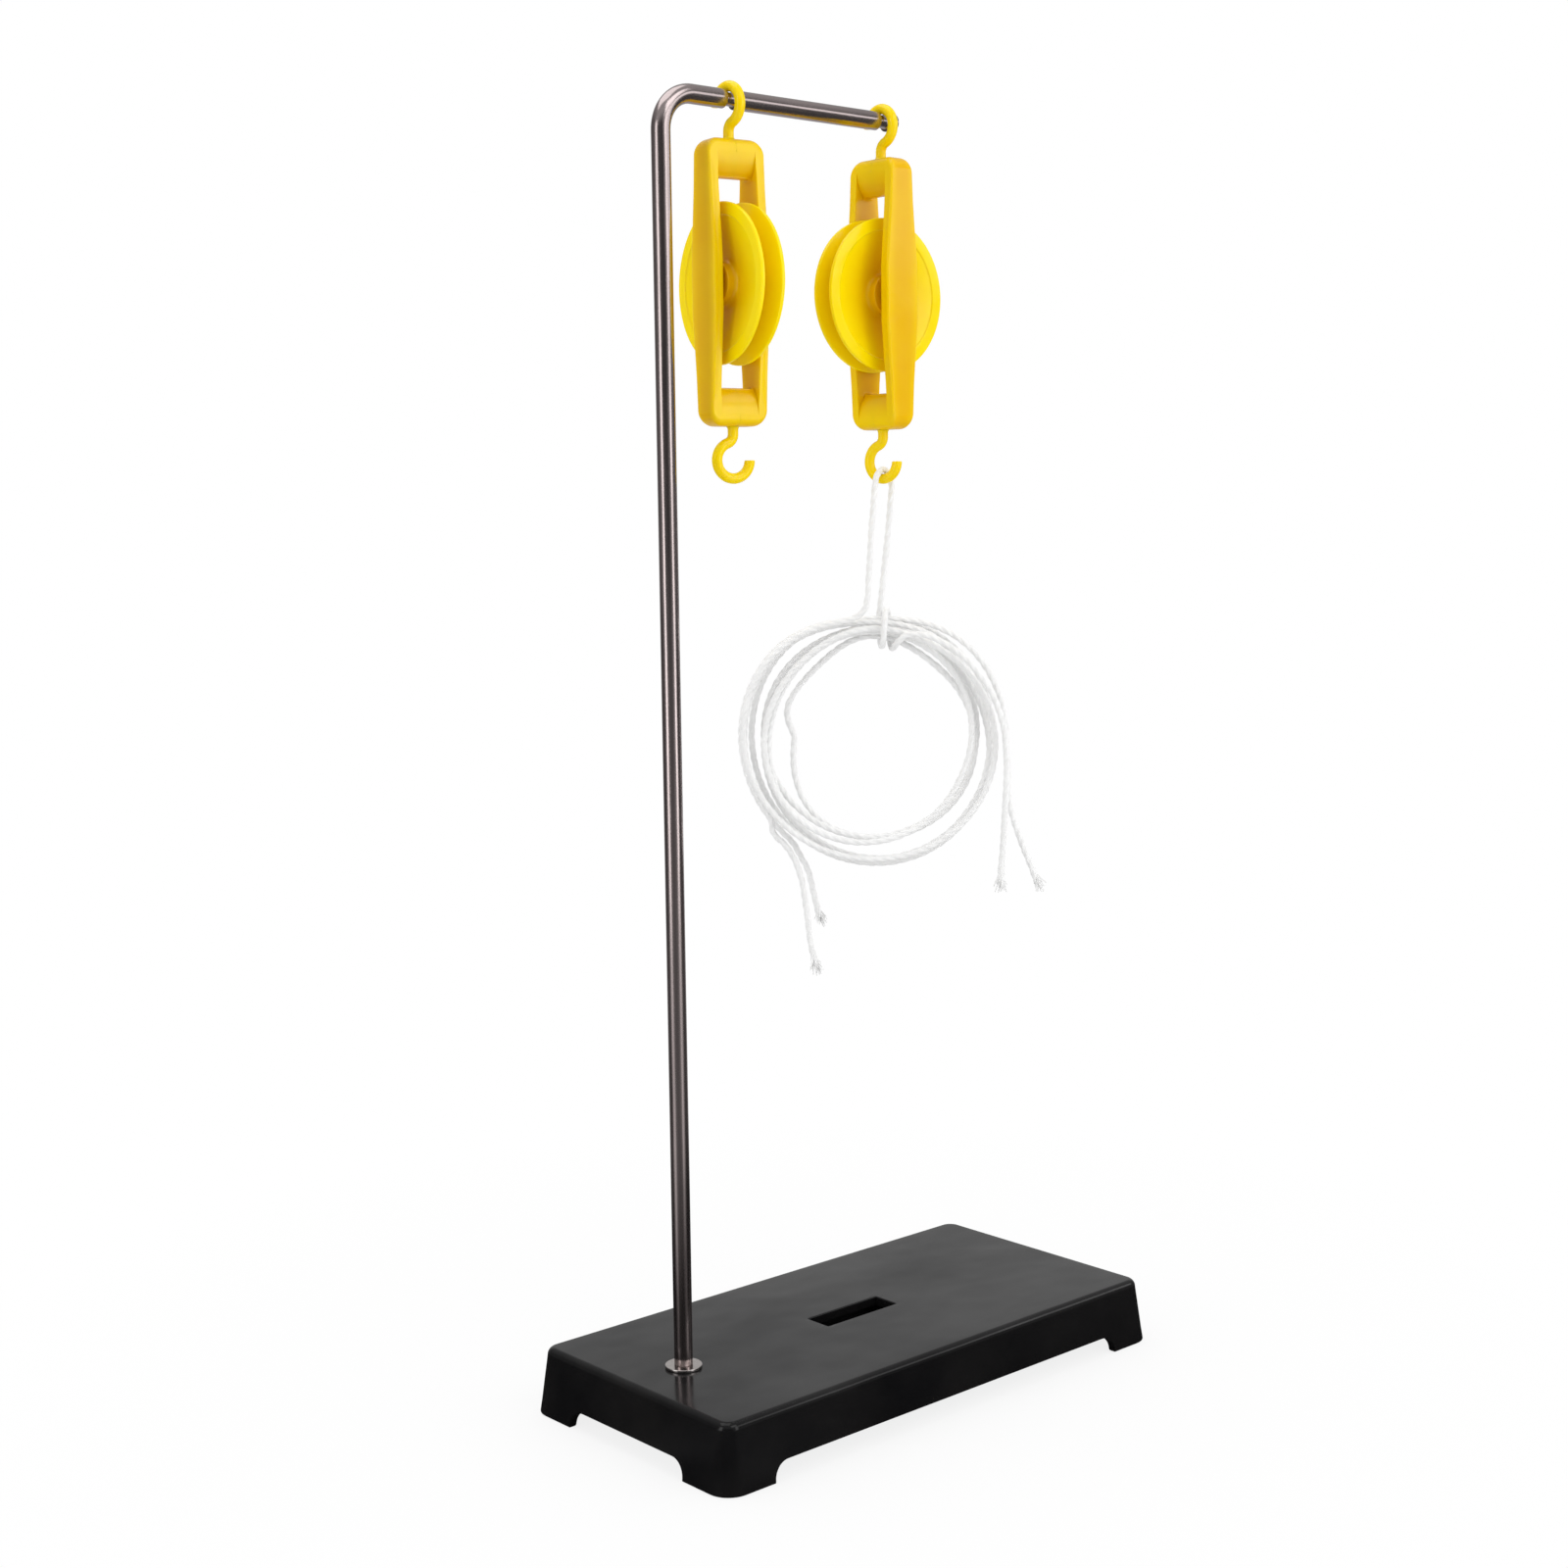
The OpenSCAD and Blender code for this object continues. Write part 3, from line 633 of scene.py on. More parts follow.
NECK_R = 3
NECK_DROP = math.sqrt((NECK_R + HOOK_R) ** 2 - NECK_R**2)
NECK_Z = NECK_DROP - HOOK_DROP
NECK_ANGLE = math.acos(NECK_R / (NECK_R + HOOK_R))
HEAD_R = 3
HEAD_LOW = 5.3
HEAD_HIGH = 7.5
FLARE = 0.45
FLARE_LEN = 1.1
TIP_ROUND = 0.35
HOOK_WARMTH = 0.28


def arc_xz(centre_x, centre_z, radius, start, end, step=0.35):
    count = max(2, round(abs(end - start) * radius / step) + 1)
    angles = np.linspace(start, end, count)
    return [(centre_x + radius * math.cos(a), 0, centre_z + radius * math.sin(a)) for a in angles]


def hook_rings():
    """The hook's centreline with a radius at each point: head, shank with a flare, bends, tip."""
    line = [
        ((0, 0, HEAD_HIGH), HEAD_R - 0.3), ((0, 0, HEAD_HIGH - 0.3), HEAD_R),
        ((0, 0, HEAD_LOW + 0.3), HEAD_R), ((0, 0, HEAD_LOW), HEAD_R - 0.3),
        ((0, 0, HEAD_LOW - 0.02), HOOK_WIRE_R),
    ]
    line += [((0, 0, z), HOOK_WIRE_R) for z in np.arange(4.8, 0.1, -0.6)]
    line.append(((0, 0, -0.02), HOOK_WIRE_R))
    for share in np.linspace(0, 1, 8):
        line.append(((0, 0, -0.04 - FLARE_LEN * share), HOOK_WIRE_R + FLARE * (1 - share) ** 3))
    small = arc_xz(-NECK_R, NECK_Z, NECK_R, 0, -NECK_ANGLE)
    big = arc_xz(0, -HOOK_DROP, HOOK_R, math.pi - NECK_ANGLE, 2 * math.pi)
    line += [(point, HOOK_WIRE_R) for point in small[:-1] + big[:-1]]
    tip = np.array(big[-1])
    for short, slimmer in rounding_steps(TIP_ROUND, 6):
        line.append((tuple(tip - [0, 0, short]), HOOK_WIRE_R - slimmer))
    return apart(line)


def make_hook(side, place, body, turn_about):
    path, radii = hook_rings()
    around = circle(32)
    points = swept_rings(path, radii[:, None], around[None], (0, 1, 0))
    faces = capped_faces(len(path), len(around))
    piece = make_piece(f"{side}_{place}_hook_moulding", turn_about(points), faces, 45)
    add_amber_and_shade(piece, lambda p: np.full(len(p), HOOK_WARMTH), 0, 0)
    dress(piece, YELLOW, "yellow_plastic", body, f"{side}_{place}_hook")


def make_hooks():
    for side, x, turn in (("left", LEFT_X, LEFT_HOOK_TURN), ("right", RIGHT_X, RIGHT_HOOK_TURN)):
        make_hook(side, "top", f"{side}_hanger",
                  lambda p: p[:, [1, 0, 2]] * [1, 1, -1] + [x, 0, BLOCK_TOP_Z])
        make_hook(side, "bottom", f"{side}_load_hook",
                  lambda p: in_block(p, x, turn, BLOCK_BOTTOM_Z))


make_hooks()


# ---- Cheeks: each one a C of a half yoke, drawn about the axle with the strap at -X ----

YOKE_T = 10.2
YOKE_GAP = 6.9
YOKE_H = 44
BARREL_R = 5.35
BARREL_Z = 32 + BARREL_R
END_R = 4.5
TOP_ROUND = 2.4
STRAP_ROUND = 1.0
INNER_ROUND = 0.35
CORNER_FILLET = 0.9
STRAP_Z = 26
LIKELY_EDGE = 4.9
SEAM = 0.03
MOULD_STEP = 0.13
SIDE_HEIGHTS = (0, 9, 28.5, 41.6, 44)
SIDE_WIDTHS = (7, 7, 5.35, 4.5, 4.35)


def half_width(height):
    return np.interp(abs(height), SIDE_HEIGHTS, SIDE_WIDTHS)


def barrel_height(away):
    """The height of the end block's round underside, at a distance from the middle."""
    return BARREL_Z - math.sqrt(max(0.0, BARREL_R**2 - away**2))


def cheek_stations():
    """Stations from the seam over the upper corner down to the axle: the outer point and its rounding,
    and the inner point (x, z, share of the barrel's height)."""
    stations = []
    reach = YOKE_GAP - CORNER_FILLET
    for x in np.linspace(0, -reach, 8):
        stations.append(((x * (YOKE_T - END_R) / reach, YOKE_H), TOP_ROUND, (x, 0, 1)))
    outside = rounding_steps(END_R, 9, 10)
    inside = rounding_steps(CORNER_FILLET, 9, 10)
    roundings = np.linspace(TOP_ROUND, STRAP_ROUND, 10)[1:]
    for (x, drop), (inner_x, inner_drop), rounding in zip(outside, inside, roundings):
        inner = (-YOKE_GAP + inner_x, -inner_drop, 1)
        stations.append(((-YOKE_T + x, YOKE_H - drop), rounding, inner))
    for share in np.linspace(0.12, 1, 9):
        height = YOKE_H - END_R + (STRAP_Z - (YOKE_H - END_R)) * share
        stations.append(((-YOKE_T, height), STRAP_ROUND, (-YOKE_GAP, STRAP_Z * share, 1 - share)))
    for height in (22, 18, 14, 11, 9, 6, 3, 0):
        stations.append(((-YOKE_T, height), STRAP_ROUND, (-YOKE_GAP, height, 0)))
    return stations


def cheek_ring(station):
    """A cheek's closed section at a station: outer face, a side, inner face, the other side."""
    (outer_x, outer_z), rounding, (inner_x, inner_z, up) = station

    def inner_height(away):
        lift = barrel_height(away) - (CORNER_FILLET if up < 1 else 0)
        return inner_z + up * lift

    edge = half_width(inner_height(LIKELY_EDGE))
    depth = math.hypot(outer_x - inner_x, outer_z - inner_height(edge))
    flat = half_width(outer_z) - rounding
    right = [(outer_x, flat * share, outer_z) for share in (0, 0.5)]

    def on_side(t, sunk):
        share = t / depth
        x = outer_x + (inner_x - outer_x) * share
        z = outer_z + (inner_height(edge) - outer_z) * share
        return x, half_width(z) - sunk, z

    right += [on_side(t, sunk) for sunk, t in rounding_steps(rounding, 8)]
    step = MOULD_STEP * np.interp(abs(outer_z), (0, 36, 39), (1, 1, 0))
    room = depth - rounding - INNER_ROUND
    right[-1] = on_side(rounding, step)
    for share, sunk in ((0.3, step), (0.36, 0), (0.7, 0)):
        right.append(on_side(rounding + room * share, sunk))
    right += [on_side(depth - short, sunk) for short, sunk in rounding_steps(INNER_ROUND, 5)]
    inner_edge = right[-1][1]
    for share in np.sin(arc(78, 6, 8)):
        away = inner_edge * share
        right.append((inner_x, away, inner_height(away)))
    right.append((inner_x, 0, inner_height(0)))
    left = [(x, -away, z) for x, away, z in right[-2:0:-1]]
    return right + left


def cheek_points():
    """All the rings of a cheek, from end to end, with a fine bevel at each seam."""
    upper = [np.array(cheek_ring(station)) for station in cheek_stations()]
    seam = upper[0].copy()
    middle = seam.mean(axis=0)
    seam[:, 1:] = middle[1:] + (seam[:, 1:] - middle[1:]) * (1 - SEAM / SIDE_WIDTHS[3])
    upper[0] = upper[0] - [SEAM, 0, 0]
    upper.insert(0, seam)
    lower = [ring * [1, 1, -1] for ring in upper[-2::-1]]
    return np.array(upper + lower)


def combine(piece, operation, points, faces):
    """Cuts another solid out of a piece, or joins it on."""
    other = make_piece("other", points, faces)
    change = piece.modifiers.new("combine", "BOOLEAN")
    change.operation = operation
    change.solver = "MANIFOLD"
    change.object = other
    graph = bpy.context.evaluated_depsgraph_get()
    mesh = bpy.data.meshes.new_from_object(piece.evaluated_get(graph))
    piece.modifiers.clear()
    piece.data = mesh
    bpy.data.objects.remove(other)


def rod_between(start, end, radius, sides=48):
    """A straight round solid, as points and faces."""
    path = np.linspace(start, end, 2)
    return swept_rings(path, radius, circle(sides)[None], (0, 1, 0)), capped_faces(2, sides)


AXLE_SEAT_R = 2.02
AXLE_SEAT_X = 8.9
PEG_R = 1
PEG_Z = 34.3
PEG_LEN = 3
PEG_ROOM = 0.3
PEG_FIT = 0.02
# Radius, and from which height to which
HOOK_HOLE = (1.735, 38.5, 45)
HOLLOW = (3.3, 36.2, 39)
ROUND_TOP_Z = 41.6
ROUND_LOW_Z = 31.8
ROUND_Y = 4.6
ROUND_SWEEP = 66
CUT_OUT_Y = 9
CUT_LOW_Z = 30


def end_rounding(side, up):
    """What is cut off an end block's side, so that it rounds in to the window."""
    section = [(CUT_OUT_Y, ROUND_TOP_Z)]
    for angle in arc(0, ROUND_SWEEP, 12):
        z = ROUND_TOP_Z - (ROUND_TOP_Z - ROUND_LOW_Z) * math.sin(angle)
        section.append((ROUND_Y * math.cos(angle), z))
    section += [(section[-1][0], CUT_LOW_Z), (CUT_OUT_Y, CUT_LOW_Z)]
    places = np.linspace(-YOKE_GAP + 0.04, 2, 12)
    points = [(x, side * y, up * z) for x in places for y, z in section]
    return np.array(points, float), capped_faces(len(places), len(section))


def make_cheek(side, face, x, turn):
    """The front cheek carries the two pegs. The back one is its mirror, with their holes."""
    rings = cheek_points()
    points = rings.reshape(-1, 3)
    faces = capped_faces(len(rings), rings.shape[1])
    mirror = 1 if face == "front" else -1

    def place(points):
        return in_block(points * [mirror, 1, 1], x, turn)

    piece = make_piece(f"{side}_{face}_cheek_moulding", place(points), faces)
    holes = [rod_between((-AXLE_SEAT_X, 0, 0), (0, 0, 0), AXLE_SEAT_R)]
    for up in (1, -1):
        for radius, low, high in (HOOK_HOLE, HOLLOW):
            holes.append(rod_between((0, 0, up * low), (0, 0, up * high), radius))
        if face == "back":
            deep = -PEG_LEN - PEG_ROOM
            holes.append(rod_between((deep, 0, up * PEG_Z), (1, 0, up * PEG_Z), PEG_R + PEG_FIT))
        holes += [end_rounding(side_y, up) for side_y in (1, -1)]
    for points, faces in holes:
        combine(piece, "DIFFERENCE", place(points), faces)
    if face == "front":
        for up in (1, -1):
            points, faces = rod_between((-1, 0, up * PEG_Z), (PEG_LEN, 0, up * PEG_Z), PEG_R)
            combine(piece, "UNION", place(points), faces)
    piece.data.shade_smooth()
    piece.data.set_sharp_from_angle(angle=math.radians(50))
    keep_flats_flat(piece)
    # Painted shade and glow: amber in the middle of each strap and lemon towards its edges, where light comes
    # through the plastic.
    add_amber_and_shade(piece, lambda p: 0.95 - 0.5 * np.abs(p[:, 1] / half_width(p[:, 2])) ** 3, x, turn)
    dress(piece, YELLOW, "yellow_plastic", f"{side}_block", f"{side}_cheek_{face}")


for side, x, turn in (("left", LEFT_X, LEFT_TURN), ("right", RIGHT_X, RIGHT_TURN)):
    for face in ("front", "back"):
        make_cheek(side, face, x, turn)


# ---- Post: one rod, threaded at its foot, bent at the top, with two turned grooves ----

ROD_R = 3
BEND_R = 12
STUD_R = 2.5
THREAD_PITCH = 0.8
THREAD_DEPTH = 0.4
THREAD_TOP_Z = 14
SEAT_R = 2.1
SEAT_HALF = 1.9
SEAT_LEAN = 0.5
TIP_CHAMFER = 0.6
ROD_TINT = (0.52, 0.44, 0.435)
STUD_Z = box_mm("post")[0][2]
SHOULDER_Z = box_mm("post_washer")[1][2]
ARM_Z = box_mm("post")[1][2] - ROD_R
ARM_END_X = box_mm("post")[1][0]


def steel_material():
    """Drawn steel: fine lines along the rod, patches of duller polish."""
    material, tree, shader = new_material("rod_steel", Metallic=1.0, Anisotropic=0.35)
    grain = node(tree, "ShaderNodeAttribute", attribute_name="grain").outputs["Vector"]
    lines = streaks(tree, grain, (2600, 2600, 26), 4, 0.6)
    patches = streaks(tree, grain, (260, 260, 34), 3)
    dull = tuple(value * 0.86 for value in ROD_TINT)
    tone = blend_colours(tree, spread(tree, patches), dull, ROD_TINT)
    fine = bump(tree, lines, 0.00002)
    link_shader(tree, shader, tone, spread(tree, lines, 0.12, 0.26), bump(tree, patches, 0.00003, fine))
    return material


def groove_radius(along, middle):
    """The rod's radius near a groove: a flat floor between two leaning shoulders."""
    return min(ROD_R, SEAT_R + max(0, abs(along - middle) - SEAT_HALF) / SEAT_LEAN)


def rod_line():
    """The rod's centreline above its shoulder, with radii: upright, bend, arm, tip."""
    line = [((POST_X, 0, SHOULDER_Z + z), r) for z, r in ((0, 2.75), (0.08, 2.92), (0.25, ROD_R))]
    heights = np.linspace(SHOULDER_Z + 6, ARM_Z - BEND_R, 60)
    line += [((POST_X, 0, z), ROD_R) for z in heights]
    for short, out in rounding_steps(BEND_R, 31)[1:]:
        line.append(((POST_X + out, 0, ARM_Z - short), ROD_R))
    reach = SEAT_HALF + SEAT_LEAN * (ROD_R - SEAT_R)
    stops = []
    for seat in (LEFT_X, RIGHT_X):
        for side in (-1, 1):
            edges = (reach + 0.12, reach + 0.02, reach - 0.06, SEAT_HALF + 0.05, SEAT_HALF - 0.08)
            stops += [seat + side * edge for edge in edges]
        stops.append(seat)
    ends = ARM_END_X - np.array([TIP_CHAMFER + 0.05, TIP_CHAMFER - 0.05])
    plain = np.arange(POST_X + BEND_R + 2, ARM_END_X - 2, 1.5)
    for x in sorted([*stops, *ends, *plain]):
        radius = min(groove_radius(x, LEFT_X), groove_radius(x, RIGHT_X))
        line.append(((x, 0, ARM_Z), radius))
    line.append(((ARM_END_X - 0.04, 0, ARM_Z), ROD_R - TIP_CHAMFER + 0.04))
    line.append(((ARM_END_X, 0, ARM_Z), ROD_R - TIP_CHAMFER - 0.02))
    return apart(line)


def thread_radii(heights, around):
    """The stud's radius at each height and angle: a V thread that fades out upwards, and a bevelled tip."""
    turn = (heights[:, None] / THREAD_PITCH - around[None] / (2 * math.pi)) % 1
    depth = THREAD_DEPTH * np.abs(2 * turn - 1)
    fade = np.interp(heights, [THREAD_TOP_Z - 1, THREAD_TOP_Z], [1, 0])
    tip = np.interp(heights, [STUD_Z, STUD_Z + 0.6], [0.5, 0])
    return STUD_R - depth * fade[:, None] - tip[:, None]


def make_post():
    around = circle(64)
    threaded = np.arange(STUD_Z, THREAD_TOP_Z + 0.5, THREAD_PITCH / 6)
    stud = np.array([*threaded, THREAD_TOP_Z + 4, SHOULDER_Z - 0.02])
    path, radii = rod_line()
    stud_path = np.stack([np.full(len(stud), POST_X), np.zeros(len(stud)), stud], axis=1)
    all_radii = np.vstack([thread_radii(stud, around), np.repeat(radii[:, None], len(around), 1)])
    whole = np.vstack([stud_path, path])
    points = swept_rings(whole, all_radii, around[None], (1, 0, 0))
    piece = make_piece("bent_rod", points, capped_faces(len(whole), len(around)), 40)
    along = np.concatenate([[0], np.cumsum(np.linalg.norm(np.diff(whole, axis=0), axis=1))])
    turns = np.tile(around, len(whole))
    store_vectors(piece, "grain", np.stack([
        ROD_R * np.cos(turns), ROD_R * np.sin(turns), np.repeat(along, len(around)),
    ], axis=1))
    dress(piece, steel_material(), "rod_steel", "stand", "post")


make_post()


# ---- Washers and nut ----

HOLE_R = 2.6
OVERSHOOT = 5
NUT_FLATS = 8
NUT_BEVEL = 0.35


def small_metal(name, scale, grit, dull, bright, low, high):
    """The metal of small turned parts. Fine marks change its tone and its polish."""
    material, tree, shader = new_material(name, Metallic=1.0)
    marks = noise(tree, object_coordinates(tree), scale, 4, grit)
    tone = blend_colours(tree, spread(tree, marks), dull, bright)
    link_shader(tree, shader, tone, spread(tree, marks, low, high), bump(tree, marks, 0.00002))
    return material


BRIGHT = small_metal("bright_steel", 900, 0.65, (0.50, 0.46, 0.44), (0.64, 0.60, 0.58), 0.12, 0.26)


def make_washer(name, node_name):
    low, high = box_mm(node_name)
    radius = (high[0] - low[0]) / 2
    edge = 0.22
    outline = rounded_corners([
        (HOLE_R, low[2], 0.1), (radius, low[2], edge), (radius, high[2], edge), (HOLE_R, high[2], 0.15),
    ], 3)
    points, faces = lathe(outline, 96)
    piece = make_piece(name, points + [POST_X, 0, 0], faces, 60)
    keep_flats_flat(piece)
    dress(piece, BRIGHT, "bright_steel", "stand", node_name)


def make_nut():
    """A hexagon with turned corners and a countersunk bore."""
    low, high = box_mm("post_nut")
    flat = NUT_FLATS / 2
    around = circle(96)
    hexagon = flat / np.cos((around % (math.pi / 3)) - math.pi / 6)
    turned_edge = np.minimum(hexagon, flat + 0.02)
    bore = np.full(len(around), HOLE_R)
    sink = NUT_BEVEL
    rings = []
    for height, radius in (
            (low[2] + sink, bore), (low[2], bore + sink), (low[2], turned_edge), (low[2] + sink, hexagon),
            (high[2] - sink, hexagon), (high[2], turned_edge), (high[2], bore + sink),
            (high[2] - sink, bore)):
        rings.append(np.stack([
            POST_X + radius * np.cos(around), radius * np.sin(around), np.full(len(around), height),
        ], axis=1))
    points = np.array(rings).reshape(-1, 3)
    piece = make_piece("hex_nut", points, looped_faces(len(rings), len(around)), 30)
    dress(piece, BRIGHT, "bright_steel", "stand", "post_nut")


make_washer("top_washer", "post_washer")
make_washer("lower_washer", "under_washer")
make_nut()


# ---- Axles and the lock washer keep their own solids ----

AXLE_STEEL = small_metal("axle_steel", 1800, 0.6, (0.50, 0.49, 0.48), (0.62, 0.61, 0.60), 0.16, 0.32)


def refinish(node_name, material):
    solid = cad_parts[node_name]
    solid.data.materials.clear()
    solid.data.materials.append(material)


refinish("left_axle", AXLE_STEEL)
refinish("right_axle", AXLE_STEEL)
refinish("lock_washer", BRIGHT)


# ---- Base: a hollow moulding, whose wall at each height is evenly far out from one rectangle ----

BASE_X = 92
BASE_Y = 42
BASE_TOP = box_mm("post_washer")[0][2]
BASE_WALL = 3
DRAFT = 2.8
CORNER_R = 8
EDGE_R = 2.5
INNER_EDGE_R = 1
FOOT_LEN = 20
FOOT_W = 21
ARCH_H = 6
SLOT_X = 16
SLOT_Y = 5
SLOT_LIP = 0.5
RIM_ROUND = 0.5
RIB_X = 22
RIB_Y = 11
RIB_T = 2
RIB_LOW = 12
BOSS_R = 8
BOSS_LOW = 11
RIB_END = 4
STOP_GAP = 4


def black_material():
    """Glossy black plastic with soft scuffs and smudges."""
    material, tree, shader = new_material("base_plastic")
    here = object_coordinates(tree)
    smudge = streaks(tree, here, (26, 34, 26), 5, 0.62)
    scuff = streaks(tree, here, (70, 400, 120), 5, 0.7)
    tone = blend_colours(tree, spread(tree, smudge), (0.004, 0.004, 0.0045), (0.0085, 0.008, 0.008))
    dull = of_two(tree, "ADD", spread(tree, smudge, 0.10, 0.20), spread(tree, scuff, 0, 0.10, 0.55, 0.75))
    haze = streaks(tree, here, (13, 20, 20), 4, 0.6)
    tree.links.new(spread(tree, haze, 0.22, 0.46, 0.35, 0.65), shader.inputs["Specular IOR Level"])
    skin = bump(tree, noise(tree, here, 1500, 4), 0.000012)
    sink = bump(tree, streaks(tree, here, (22, 30, 22), 2), 0.0006, skin)
    link_shader(tree, shader, tone, dull, sink)
    return material


def arch_height(away, foot_end):
    """The underside's height, at a distance from the middle of a side."""
    past = max(0.0, abs(away) - (foot_end - ARCH_H))
    return math.sqrt(max(0.0, ARCH_H**2 - past**2))


def side_stops(corner, foot_end, count):
    """Where a side needs points: wide apart over its arch and close in its quarter circles."""
    half = [*np.linspace(0, foot_end - ARCH_H, count)[:-1]]
    half += [foot_end - ARCH_H + ARCH_H * math.sin(a) for a in arc(0, 90, 11)]
    half += [foot_end + STOP_GAP, corner - STOP_GAP, corner]
    return sorted({round(sign * stop, 6) for stop in half for sign in (-1, 1)})


def base_stations():
    """Once round the base: the rectangle's point, the way out from it, the underside's height."""
    stations = []
    long_end = BASE_X + CORNER_R - FOOT_LEN
    short_end = BASE_Y + CORNER_R - FOOT_W
    lengthwise = (side_stops(BASE_X, long_end, 14), BASE_Y, long_end)
    crosswise = (side_stops(BASE_Y, short_end, 7), BASE_X, short_end)
    for quarter in range(4):
        spin = turned(90 * quarter)[:2, :2]
        along, other, foot_end = crosswise if quarter % 2 else lengthwise
        for away in along:
            stations.append((spin @ [away, -other], spin @ [0, -1], arch_height(away, foot_end)))
        for angle in arc(-90, 0, 13)[1:-1]:
            way = np.array([math.cos(angle), math.sin(angle)])
            stations.append((spin @ [along[-1], -other], spin @ way, 0.0))
    return stations


def slot_point(rectangle_point):
    """The point of the slot's edge that a point of the rectangle is joined to."""
    x, y = rectangle_point
    if abs(abs(y) - BASE_Y) < 1e-6:
        return np.array([x * SLOT_X / BASE_X, math.copysign(SLOT_Y, y)])
    return np.array([math.copysign(SLOT_X, x), y * SLOT_Y / BASE_Y])


def base_section(station):
    """A closed section of wall, top and slot, from the foot's outer edge to its inner one."""
    foot, way, low = station

    def outer(z):
        return CORNER_R - DRAFT * z / (BASE_TOP - EDGE_R)

    def inner(z):
        return CORNER_R - BASE_WALL - DRAFT * z / (BASE_TOP - BASE_WALL - INNER_EDGE_R)

    def at(out, z):
        return np.array([*(foot + way * out), z])

    section = [at(outer(low) - short, low + rise) for short, rise in rounding_steps(RIM_ROUND, 5)]
    for share in (0.2, 0.4, 0.6, 0.8, 1):
        z = low + RIM_ROUND + (BASE_TOP - EDGE_R - low - RIM_ROUND) * share
        section.append(at(outer(z), z))
    for drop, short in rounding_steps(EDGE_R, 9, 10):
        section.append(at(outer(BASE_TOP - EDGE_R) - short, BASE_TOP - drop))
    slot = slot_point(foot)
    centre = np.array([*foot, BASE_TOP])
    corner = np.array([*slot, BASE_TOP])
    spread_way = unit(slot - np.clip(slot, (-SLOT_X + 1, -SLOT_Y + 1), (SLOT_X - 1, SLOT_Y - 1)))
    for share in (0, 0.2, 0.4, 0.6, 0.8, 0.94):
        section.append(centre + (corner - centre) * share)
    for drop, short in rounding_steps(SLOT_LIP, 5, 90, 0):
        section.append(np.array([*(slot + spread_way * short), BASE_TOP - drop]))
    ceiling = BASE_TOP - BASE_WALL
    section.append(np.array([*slot, ceiling]))
    for share in (0.06, 0.4, 0.8, 1):
        section.append(np.array([*(slot + (foot - slot) * share), ceiling]))
    for drop, short in rounding_steps(INNER_EDGE_R, 5, 90, 0):
        section.append(at(inner(ceiling - INNER_EDGE_R) - short, ceiling - drop))
    for share in (0.5, 1):
        z = ceiling - INNER_EDGE_R + (low + RIM_ROUND - ceiling + INNER_EDGE_R) * share
        section.append(at(inner(z), z))
    for rise, short in rounding_steps(RIM_ROUND, 3, 30):
        section.append(at(inner(low) + short, low + rise))
    return section


def block_between(low, high, soft=0.4):
    """A straight bar with its lower long edges rounded off."""
    (x0, y0, z0), (x1, y1, z1) = low, high
    rings = []
    for inset, z in ((0, z1), (0, z0 + soft), (soft * 0.3, z0 + soft * 0.3), (soft, z0)):
        rings += [(x0 + inset, y0 + inset, z), (x1 - inset, y0 + inset, z),
                  (x1 - inset, y1 - inset, z), (x0 + inset, y1 - inset, z)]
    return np.array(rings, float), capped_faces(4, 4)


def make_base():
    sections = [base_section(station) for station in base_stations()]
    points = np.array(sections).reshape(-1, 3)
    piece = make_piece("moulded_base", points, looped_faces(len(sections), len(sections[0])))
    ceiling = BASE_TOP - BASE_WALL
    into = ceiling + 1
    half = RIB_T / 2
    end_x = BASE_X + CORNER_R - RIB_END
    end_y = BASE_Y + CORNER_R - RIB_END
    bars = []
    for x, y in ((-RIB_X, -RIB_Y), (RIB_X, RIB_Y)):
        bars.append(block_between((x - half, -end_y, RIB_LOW), (x + half, end_y, into)))
        bars.append(block_between((-end_x, y - half, RIB_LOW), (end_x, y + half, into)))
    for points, faces in bars:
        combine(piece, "UNION", points, faces)
    combine(piece, "UNION", *rod_between((POST_X, 0, BOSS_LOW), (POST_X, 0, into), BOSS_R, 64))
    through = rod_between((POST_X, 0, BOSS_LOW - OVERSHOOT), (POST_X, 0, BASE_TOP + OVERSHOOT), HOLE_R)
    combine(piece, "DIFFERENCE", *through)
    piece.data.shade_smooth()
    piece.data.set_sharp_from_angle(angle=math.radians(35))
    keep_flats_flat(piece)
    dress(piece, black_material(), "base_plastic", "stand", "base")


make_base()


# ---- Stage: white floor and background, large soft lights ----

SUBJECT = Vector((-0.02, 0, 0.2))
FLOOR_R = 6
AHEAD = (0.662, 0.740, 0.1)

# How bright the surroundings are in reflections: (how far ahead of the camera a way points, from -1
# to 1, and the brightness). Dark behind and beside the camera, paler in between and far ahead.
AIR = ((-1, 0.05), (-0.86, 0.08), (-0.66, 0.5), (-0.3, 0.32), (-0.05, 0.12), (0.72, 0.15), (0.93, 0.55))
GROUND = ((-1, 0.12), (-0.84, 0.18), (-0.6, 0.85), (-0.3, 0.3), (-0.16, 0.07), (0.6, 0.08), (0.95, 0.5))


def by_way(tree, way, stops):
    """The brightness in a way, from how far it points ahead of the camera."""
    ahead = node(tree, "ShaderNodeVectorMath", {0: way, 1: AHEAD}, operation="DOT_PRODUCT")
    place = spread(tree, ahead.outputs["Value"], 0, 1, -1, 1)
    ramp = node(tree, "ShaderNodeValToRGB", {"Fac": place})
    marks = ramp.color_ramp.elements
    while len(marks) < len(stops):
        marks.new(0.5)
    for mark, (ahead_share, brightness) in zip(marks, stops):
        mark.position = (ahead_share + 1) / 2
        mark.color = (brightness, brightness, brightness, 1)
    return ramp.outputs["Color"]


